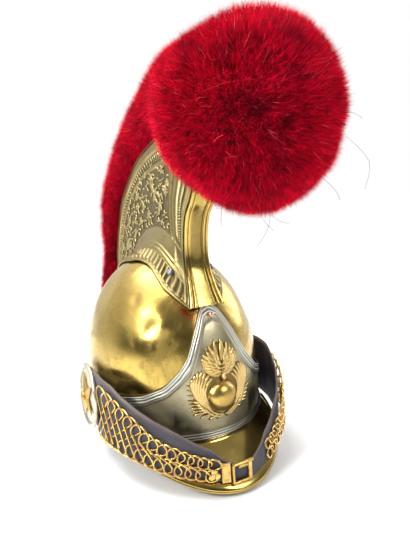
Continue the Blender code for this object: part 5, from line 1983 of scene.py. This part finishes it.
@dataclass
class Rosettes:
    """Turned disc with a raised rim on each side, and the gilt star on it."""

    radius: float = 0.0357
    middle_y: float = -0.008
    middle_z: float = 0.070
    back_x: float = 0.1042
    thickness: float = 0.0026
    tilt: float = radians(3.5)
    post: float = 0.008
    post_depth: float = 0.0021
    groove: float = 0.84
    # Each point of the face: share of the radius, and of the thickness
    profile: Outline = (
        (0.0, 1.00), (0.30, 1.0), (0.55, 0.92), (0.72, 0.78), (0.80, 0.66), (0.84, 0.60), (0.865, 0.95),
        (0.89, 1.35), (0.925, 1.54), (0.96, 1.40), (0.985, 1.1), (1.0, 0.75), (1.0, 0.1), (0.99, 0.0))
    star_radius: float = 0.0265
    star_waist: float = 0.0105
    star_rise: float = 0.0050
    star_edge: float = 0.0010
    boss_radius: float = 0.0052
    star_arms: int = 5

    def seat(self, side: Side) -> Matrix:
        """Where a disc lies and how it leans."""
        place = Matrix.Translation((side.value * self.back_x, self.middle_y, self.middle_z))
        return place @ Matrix.Rotation(side.value * (pi / 2 - self.tilt), 4, "Y")

    def disc(self) -> BMesh:
        """Disc turned from its profile.

        Returns:
            The mesh around its own axis.
        """
        points = [(share * self.radius, height * self.thickness) for share, height in self.profile]
        points += [(self.post, 0.0), (self.post, -self.post_depth), (0.0, -self.post_depth)]
        bm = bmesh.new()
        verts = [bm.verts.new((x, 0.0, z)) for x, z in points]
        edges = [bm.edges.new(pair) for pair in zip(verts, verts[1:])]
        bmesh.ops.spin(bm, geom=verts + edges, cent=(0, 0, 0), axis=(0, 0, 1), dvec=(0, 0, 0),
                       angle=2 * pi, steps=96, use_merge=True)
        bmesh.ops.remove_doubles(bm, verts=bm.verts, dist=0.00002)
        bmesh.ops.recalc_face_normals(bm, faces=bm.faces)
        # Dirt and painted shade in the groove inside the raised rim
        layer = bm.verts.layers.float.new("recess")
        for vert in bm.verts:
            away = np.hypot(vert.co.x, vert.co.y) / self.radius
            vert[layer] = float(max(0.0, 1 - abs(away - self.groove) / 0.05)) * 0.8
        return bm

    def star(self) -> BMesh:
        """Five ridged arms around a boss.

        Returns:
            The mesh around its own axis.
        """
        bm = bmesh.new()
        bmesh.ops.create_circle(bm, cap_ends=True, segments=2 * self.star_arms, radius=self.star_radius)
        corners = sorted(bm.verts, key=lambda vert: np.arctan2(vert.co.y, vert.co.x))
        for vert in corners[::2]:
            vert.co *= self.star_waist / self.star_radius
        raised = bmesh.ops.extrude_face_region(bm, geom=list(bm.faces))
        upper = [item for item in raised["geom"] if isinstance(item, bmesh.types.BMVert)]
        bmesh.ops.translate(bm, verts=upper, vec=(0.0, 0.0, self.star_edge))
        top = max(bm.faces, key=lambda face: face.calc_center_median().z)
        peak = bmesh.ops.poke(bm, faces=[top])["verts"]
        bmesh.ops.translate(bm, verts=peak, vec=(0.0, 0.0, self.star_rise - self.star_edge))
        bmesh.ops.recalc_face_normals(bm, faces=bm.faces)
        bmesh.ops.bevel(bm, geom=list(bm.edges), offset=0.00025, offset_type="OFFSET", segments=2,
                        profile=0.5, affect="EDGES", material=-1, clamp_overlap=True)
        add_ball(bm, 32, 16, self.boss_radius, (0.0, 0.0, self.star_rise - self.star_edge), (1.0, 1.0, 0.6))
        return bm

    def build(self, looks: Finishes) -> None:
        """Build both discs and stars.

        Args:
            looks: The materials.
        """
        for side in Side:
            name = side.label
            disc = self.disc()
            bmesh.ops.transform(disc, matrix=self.seat(side), verts=disc.verts)
            piece(f"rosette_disc_{name}", disc, looks.rosette, [f"rosette_{name}"],
                  sharp=radians(60))
            star = self.star()
            lift = Matrix.Translation((0.0, 0.0, self.thickness + GAP))
            bmesh.ops.transform(star, matrix=self.seat(side) @ lift, verts=star.verts)
            piece(f"gilt_star_{name}", star, looks.gilt, [f"star_{name}"],
                  sharp=radians(25))


@dataclass
class Chenille:
    """Caterpillar of crimson wool: a round head in front and a long body to its tail."""

    comb: Comb
    ball_middle: Spot = (0.0, -0.192, 0.3285)
    ball_size: Spot = (0.080, 0.071, 0.0745)
    radius: float = 0.0440
    sink: float = 0.06
    depth: float = 0.0135
    tail: Outline = ((0.986, 0.437), (0.971, 0.321))
    # Each lump of the round head: the way to it, its spread in radians and its height
    lumps: tuple[tuple[Spot, float, float], ...] = (
        ((0.412, -0.115, 0.904), 0.50, 0.0075), ((-0.685, 0.496, 0.534), 0.36, 0.0065),
        ((0.812, -0.514, -0.281), 0.62, -0.0045), ((-0.605, 0.230, -0.762), 0.42, -0.0060),
        ((0.05, -0.10, 0.99), 0.14, -0.0035))
    girth: Outline = ((0.0, 1.0), (0.10, 1.0), (0.19, 0.89), (0.28, 0.80), (0.38, 0.745),
                               (0.48, 0.725), (0.57, 0.76), (0.65, 0.73), (0.74, 0.66), (0.82, 0.70),
                               (0.90, 0.82), (1.0, 0.86))
    # Each stray hair: start, middle and end in millimetres from the round head's middle, seen from
    # its front right, and whether it is pale
    strays: tuple[tuple[Flat, Flat, Flat, bool], ...] = (
        ((1.4, 44.2), (12.8, 49.5), (22.0, 57.1), True),
        ((-39.6, 22.9), (-17.6, 28.3), (3.7, 30.5), True),
        ((-45.7, 14.6), (-40.3, 16.1), (-35.0, 16.9), True),
        ((-31.2, -18.8), (-25.9, -14.3), (-21.4, -12.0), True),
        ((-20.6, -26.4), (-15.3, -28.0), (-10.7, -28.7), True),
        ((66.0, 21.4), (67.6, 14.6), (66.8, 7.8), True),
        ((78.2, -13.5), (89.6, -31.8), (86.6, -53.0), False),
        ((75.2, 8.5), (79.7, 4.0), (84.3, 0.9), False),
        ((57.7, -47.0), (63.8, -53.8), (67.6, -61.4), False),
        ((1.1, -69.0), (9.8, -77.4), (17.1, -84.6), False),
        ((17.1, -67.5), (12.8, -82.7), (4.3, -97.1), False),
        ((7.5, -69.0), (18.9, -75.8), (28.8, -79.3), False),
        ((-23.6, -69.0), (-22.9, -75.1), (-22.1, -81.2), False))
    stray_way: Ribs = ((0.870, -0.489, -0.066), (0.125, 0.088, 0.988))
    stray_front: Spot = (-0.194, -0.4555, 0.258)
    stray_root: float = 0.92
    stray_shell: float = 0.078
    stray_width: float = 0.00024
    pale_tint: float = 0.9888
    dark_tint: float = 0.2
    hair_widths: Flat = (0.00024, 0.00042)
    hair_unevenness: float = 0.11
    # How far hairs lean: with their clump and tuft, each by itself, and down at their tips
    clump_lean: float = 0.14
    tuft_lean: float = 0.20
    hair_lean: float = 0.36
    tip_lean: float = 0.30
    sag: float = -0.12
    bend: float = 0.6
    tail_from: float = 0.90
    tail_turn: float = 1.35
    hairs_per_piece: int = 80000
    ball_pieces: int = 2
    body_pieces: int = 2
    seed: int = 11

    def seat_line(self) -> list[Spot]:
        """Line that the body follows, over the comb's outer edge."""
        return self.comb.outline(self.comb.edge + self.tail)

    def girth_at(self, share: Array) -> Array:
        """Radius of the body along its line."""
        return self.radius * soft_table(self.girth, share)

    def axis(self, share: Array) -> tuple[Array, Array, Array]:
        """Middle of the body.

        Args:
            share: Where along the line.

        Returns:
            The middle, the way outwards from the comb and the way along the line.
        """
        line = self.seat_line()
        lift = self.girth_at(share) * (1 - self.sink)
        middle = self.comb.strip_point(line, share, np.zeros_like(share), lift)
        seat = self.comb.strip_point(line, share, np.zeros_like(share), np.zeros_like(share))
        outward = unit(middle - seat)
        return middle, outward, unit(stacked(0.0, outward[..., 2], -outward[..., 1]))

    def build_core(self, looks: Finishes) -> None:
        """Core that the hair stands on, dark crimson as painted shade deep in the pile.

        Args:
            looks: The materials.
        """
        def body(across: Array, up: Array) -> Array:
            """Tube of the body, rounded at its tail."""
            share = up * 0.985
            middle, outward, _ = self.axis(share)
            end = np.clip(np.minimum(up / 0.03, (1 - up) / 0.08), 0, 1)
            width = (self.girth_at(share) - self.depth) * np.sqrt(1 - (1 - end) ** 2)
            turn = across * 2 * pi
            sideways = np.array((1.0, 0.0, 0.0))
            ring = outward * np.cos(turn)[..., None] + sideways * np.sin(turn)[..., None]
            return middle + ring * width[..., None]

        bm = sheet(40, 90, body, weld=True)
        ball = bmesh.ops.create_uvsphere(bm, u_segments=48, v_segments=32, radius=1.0)["verts"]
        for vert, extra in zip(ball, self.lump(np.array([vert.co[:] for vert in ball]))):
            vert.co *= 1.0 + float(extra) / (self.ball_size[0] - self.depth)
        bmesh.ops.scale(bm, verts=ball, vec=[size - self.depth for size in self.ball_size])
        bmesh.ops.translate(bm, verts=ball, vec=self.ball_middle)
        bmesh.ops.recalc_face_normals(bm, faces=bm.faces)
        piece("chenille_core", bm, looks.wool_core, ["chenille"])

    def lump(self, way: Array) -> Array:
        """Height of the round head's lumps in each direction."""
        total = 0.0012 * waviness(way, 0.55, 91)
        for middle, spread, height in self.lumps:
            apart = np.arccos(np.clip(way @ unit(np.array(middle)), -1, 1))
            total = total + height * np.exp(-(apart / spread) ** 2)
        return total

    def ball_roots(self, rng: np.random.Generator, count: int) -> tuple[Array, Array]:
        """Roots on the round head.

        Args:
            rng: Source of chance.
            count: How many.

        Returns:
            The roots, and the way that each hair stands.
        """
        way = unit(rng.normal(size=(count, 3)))
        size = np.array(self.ball_size)
        root = np.array(self.ball_middle) + way * (size - self.depth + self.lump(way)[:, None])
        return root, unit(way / size)

    def body_roots(self, rng: np.random.Generator, count: int) -> tuple[Array, Array]:
        """Roots on the long body.

        Args:
            rng: Source of chance.
            count: How many.

        Returns:
            The roots, and the way that each hair stands.
        """
        marks = np.linspace(0.02, 0.99, 400)
        middle, _, _ = self.axis(marks)
        speed = np.linalg.norm(np.gradient(middle, axis=0), axis=1) * self.girth_at(marks)
        total = np.cumsum(speed)
        share = np.interp(rng.uniform(0, 1, count), total / total[-1], marks)
        turn = rng.uniform(-1, 1, count) * pi
        middle, outward, along = self.axis(share)
        ring = outward * np.cos(turn)[:, None] + np.array((1.0, 0.0, 0.0)) * np.sin(turn)[:, None]
        end = ease(self.tail_from, 1.0, share)
        turned = end * self.tail_turn
        lean = unit(ring * np.cos(turned)[:, None] + along * np.sin(turned)[:, None])
        girth = self.girth_at(share) - self.depth
        root = middle + ring * (girth * np.cos(end * 1.2))[:, None] + along * (end * girth * 0.35)[:, None]
        return root, lean

    def hair_mesh(self, name: str, roots: Array, ways: Array, rng: np.random.Generator
                  ) -> Mesh:
        """Fine strands, each a narrow kite of two triangles.

        Args:
            name: Name of the mesh.
            roots: Where they stand.
            ways: Which way they stand.
            rng: Source of chance.

        Returns:
            The mesh in the row frame.
        """
        count = len(roots)
        bm = grid(1, 1)
        for vert in bm.verts:
            vert.co.y = -0.1 if vert.co.x * vert.co.y < 0 else vert.co.y
            vert.co.x = 0.0 if abs(vert.co.y) > 0.4 else vert.co.x * 0.2
        spots = corners_of(bm)
        clump = np.stack([waviness(roots, 0.021, seed) for seed in (51, 52, 53)], axis=-1)
        small = np.stack([waviness(roots, 0.0075, seed) for seed in (61, 62, 63)], axis=-1)
        way = unit(ways + self.clump_lean * clump + self.tuft_lean * small
                   + rng.normal(scale=self.hair_lean, size=(count, 3)))
        sag = np.array((0.0, 0.0, self.sag))
        uneven = (1.02 + 0.07 * waviness(roots, 0.030, 71)
                  + rng.normal(scale=self.hair_unevenness, size=count))
        length = self.depth * uneven
        bend = unit(way + sag + rng.normal(scale=self.tip_lean, size=(count, 3)))
        aside = unit(np.cross(way, rng.normal(size=(count, 3))))
        width = rng.uniform(*self.hair_widths, count)
        step = (spots[:, 1] + 0.5)[None, :, None]
        straight = way[:, None] * step + (bend - way)[:, None] * step ** 2 * self.bend
        places = roots[:, None] - way[:, None] * 0.001 + straight * length[:, None, None]
        places = places + aside[:, None] * (spots[:, 0] * 10)[None, :, None] * width[:, None, None] / 2
        reach = np.broadcast_to(step[..., 0], (count, len(spots)))
        tint = np.broadcast_to(rng.uniform(0, 1, count)[:, None], (count, len(spots)))
        return joined_copies(name, bm, places, {"reach": reach, "tint": tint})

    def build_strays(self, looks: Finishes) -> None:
        """Longer hairs that stand out of the round head.

        Args:
            looks: The materials.
        """
        bm = grid(1, 8)
        spots = corners_of(bm)
        aside, above = (np.array(way) for way in self.stray_way)
        places, tints, reach = [], [], []
        for *line, light in self.strays:
            line[0] = tuple(Vector(line[0]) * self.stray_root)
            flat = curve_through(line, spots[:, 1] + 0.5) / 1000
            away = np.linalg.norm(flat, axis=-1)
            front = np.sqrt(np.clip(self.stray_shell ** 2 - away ** 2, 0.0, None)) + 0.001
            way = unit(flat[-1] - flat[0])
            flat = flat + np.array((-way[1], way[0])) * spots[:, :1] * self.stray_width
            spot = np.array(self.ball_middle) + flat[:, :1] * aside + flat[:, 1:] * above
            places.append(spot + unit(np.array(self.stray_front) - spot) * front[:, None])
            tints.append(np.full(len(spots), self.pale_tint if light else self.dark_tint))
            reach.append(np.full(len(spots), float(light)))
        values = {"reach": np.array(reach), "tint": np.array(tints)}
        mesh = joined_copies("chenille_strays", bm, np.array(places), values)
        piece_from("chenille_strays", mesh, looks.wool)

    def build(self, looks: Finishes) -> None:
        """Build the core and the hair.

        Args:
            looks: The materials.
        """
        self.build_core(looks)
        self.build_strays(looks)
        rng = np.random.default_rng(self.seed)
        kinds = [self.ball_roots] * self.ball_pieces + [self.body_roots] * self.body_pieces
        for index, roots in enumerate(kinds, 1):
            mesh = self.hair_mesh(f"chenille_wool_{index}", *roots(rng, self.hairs_per_piece), rng)
            piece_from(f"chenille_wool_{index}", mesh, looks.wool)


@dataclass
class Studio:
    """Pale floor, soft light and the camera."""

    camera_place: Spot = (-0.19397, -0.42967, 0.25793)
    azimuth: float = radians(-28.84)
    elevation: float = radians(7.92)
    roll: float = radians(-3.83)
    lens: float = 26.988
    floor_colour: Colour = (0.88, 0.88, 0.88)
    # The floor's glow: where it starts and is full, and its strength
    glow_edges: Flat = (0.35, 2.4)
    glow: float = 0.5
    # The room: where its dim and bright halves start, their brightness, and what it gains overhead
    room_edges: Flat = (-0.30, 0.60)
    room_shades: Flat = (0.10, 1.0)
    overhead: float = 0.35
    aim: Spot = (0.0, -0.02, 0.17)
    # Each round light: its name, its place, the width across it and its power in watts
    lights: tuple[tuple[str, Spot, float, float], ...] = (
        ("window", (-1.03, -0.18, 0.82), 0.44, 15.0), ("front", (0.45, -1.25, 0.95), 0.7, 9.0),
        ("above", (-0.35, 0.30, 1.5), 1.4, 34.0), ("right", (1.3, 0.1, 0.6), 0.8, 8.0))

    def build_camera(self) -> None:
        """Camera at the photograph's place and angle."""
        back = Vector((sin(self.azimuth) * cos(self.elevation), -cos(self.azimuth) * cos(self.elevation),
                       sin(self.elevation)))
        right = Vector((cos(self.azimuth), sin(self.azimuth), 0.0))
        up = back.cross(right)
        across = right * cos(self.roll) + up * sin(self.roll)
        over = up * cos(self.roll) - right * sin(self.roll)
        data = bpy.data.cameras.new("camera")
        data.lens = self.lens
        data.sensor_width = 36.0
        data.clip_start = 0.01
        camera = bpy.data.objects.new("camera", data)
        turn = Matrix((across, over, back)).transposed().to_4x4()
        camera.matrix_world = Matrix.Translation(self.camera_place) @ turn
        into_scene(camera)
        bpy.context.scene.camera = camera

    def build_floor(self) -> None:
        """Wide pale floor that brightens into the white room."""
        bm = bmesh.new()
        bmesh.ops.create_grid(bm, x_segments=2, y_segments=2, size=14.0)
        mesh = mesh_from("floor", bm)
        made, sketch, shader = start_material("pale_floor")
        where = sketch.places()
        faint = sketch.spread(sketch.noise(where, 1.4, 2.0), 0.2, 0.8)
        soft = tuple(value * 0.97 for value in self.floor_colour)
        sketch.feed(shader.inputs["Base Color"], sketch.mix(faint, self.floor_colour, soft))
        away = sketch.add("ShaderNodeVectorMath", operation="LENGTH")
        sketch.feed(away.inputs[0], where)
        glow = sketch.spread(away.outputs["Value"], *self.glow_edges, 0.0, self.glow)
        sketch.feed(shader.inputs["Emission Strength"], glow)
        shader.inputs["Emission Color"].default_value = (1.0, 1.0, 1.0, 1.0)
        shader.inputs["Roughness"].default_value = 0.7
        mesh.materials.append(made)
        floor = bpy.data.objects.new("floor", mesh)
        into_scene(floor)

    def build_lights(self) -> None:
        """Round soft lights that look at the helmet."""
        for name, place, size, power in self.lights:
            data = bpy.data.lights.new(name, "AREA")
            data.shape = "DISK"
            data.size = size
            data.energy = power
            light = bpy.data.objects.new(name, data)
            light.location = place
            light.rotation_mode = "QUATERNION"
            light.rotation_quaternion = (Vector(self.aim) - Vector(place)).to_track_quat("-Z", "Y")
            into_scene(light)

    def build_world(self) -> None:
        """White room that is bright behind the helmet and overhead, and dim where the camera stands."""
        world = bpy.data.worlds.new("studio")
        world.use_nodes = True
        bpy.context.scene.world = world
        sketch = NodeSketch(world.node_tree)
        shade = world.node_tree.nodes["Background"]
        where = sketch.add("ShaderNodeTexCoord").outputs["Generated"]
        parts = sketch.add("ShaderNodeSeparateXYZ")
        sketch.feed(parts.inputs[0], where)
        behind = sketch.math("ADD", sketch.math("MULTIPLY", parts.outputs["Y"], 0.85),
                             sketch.math("MULTIPLY", parts.outputs["X"], 0.30))
        room = sketch.spread(behind, *self.room_edges, *self.room_shades)
        high = sketch.spread(parts.outputs["Z"], 0.45, 0.95, 0.0, self.overhead)
        uneven = sketch.spread(sketch.noise(where, 1.5, 2.0, 0.4), 0.35, 0.65, 0.75, 1.15)
        wall = sketch.math("MULTIPLY", sketch.math("ADD", room, high), uneven)
        seen = sketch.add("ShaderNodeLightPath").outputs["Is Camera Ray"]
        sketch.feed(shade.inputs["Color"], sketch.mix(seen, sketch.grey(wall), (1.0, 1.0, 1.0)))
        shade.inputs["Strength"].default_value = 1.0

    def build(self) -> None:
        """Set up the camera, the floor and the light."""
        bpy.context.scene.view_settings.view_transform = "Standard"
        self.build_camera()
        self.build_floor()
        self.build_world()
        self.build_lights()


def dress_spine(looks: Finishes) -> None:
    """Give the comb's spine, the one solid that stays in view, the comb's finish.

    Args:
        looks: The materials.
    """
    spine = frame["nodes"]["comb_spine"]
    spine.data.materials.clear()
    spine.data.materials.append(looks.comb)


def main() -> None:
    """Build the studio and the helmet from the skull outwards."""
    logging.basicConfig(level=logging.INFO, format="%(message)s")
    Studio().build()
    looks = Finishes.build()
    skull = Skull()
    plate = FrontPlate(skull)
    comb = Comb(skull)
    visor = Brim(skull, half_width=0.0931, reach=0.1252, middle=0.037, tip_z=0.0032, side_rise=0.0315)
    guard = Brim(skull, half_width=0.0925, reach=0.113, middle=0.037, tip_z=0.0003, side_rise=0.033,
                 level_share=0.62)
    parts = (skull, plate, Grenade(skull, plate), comb, Brims(visor, guard), Strap(visor), Rosettes(),
             Chenille(comb))
    for part in parts:
        part.build(looks)
        log.info("built %s", type(part).__name__)
    dress_spine(looks)


if __name__ == "__main__":
    main()
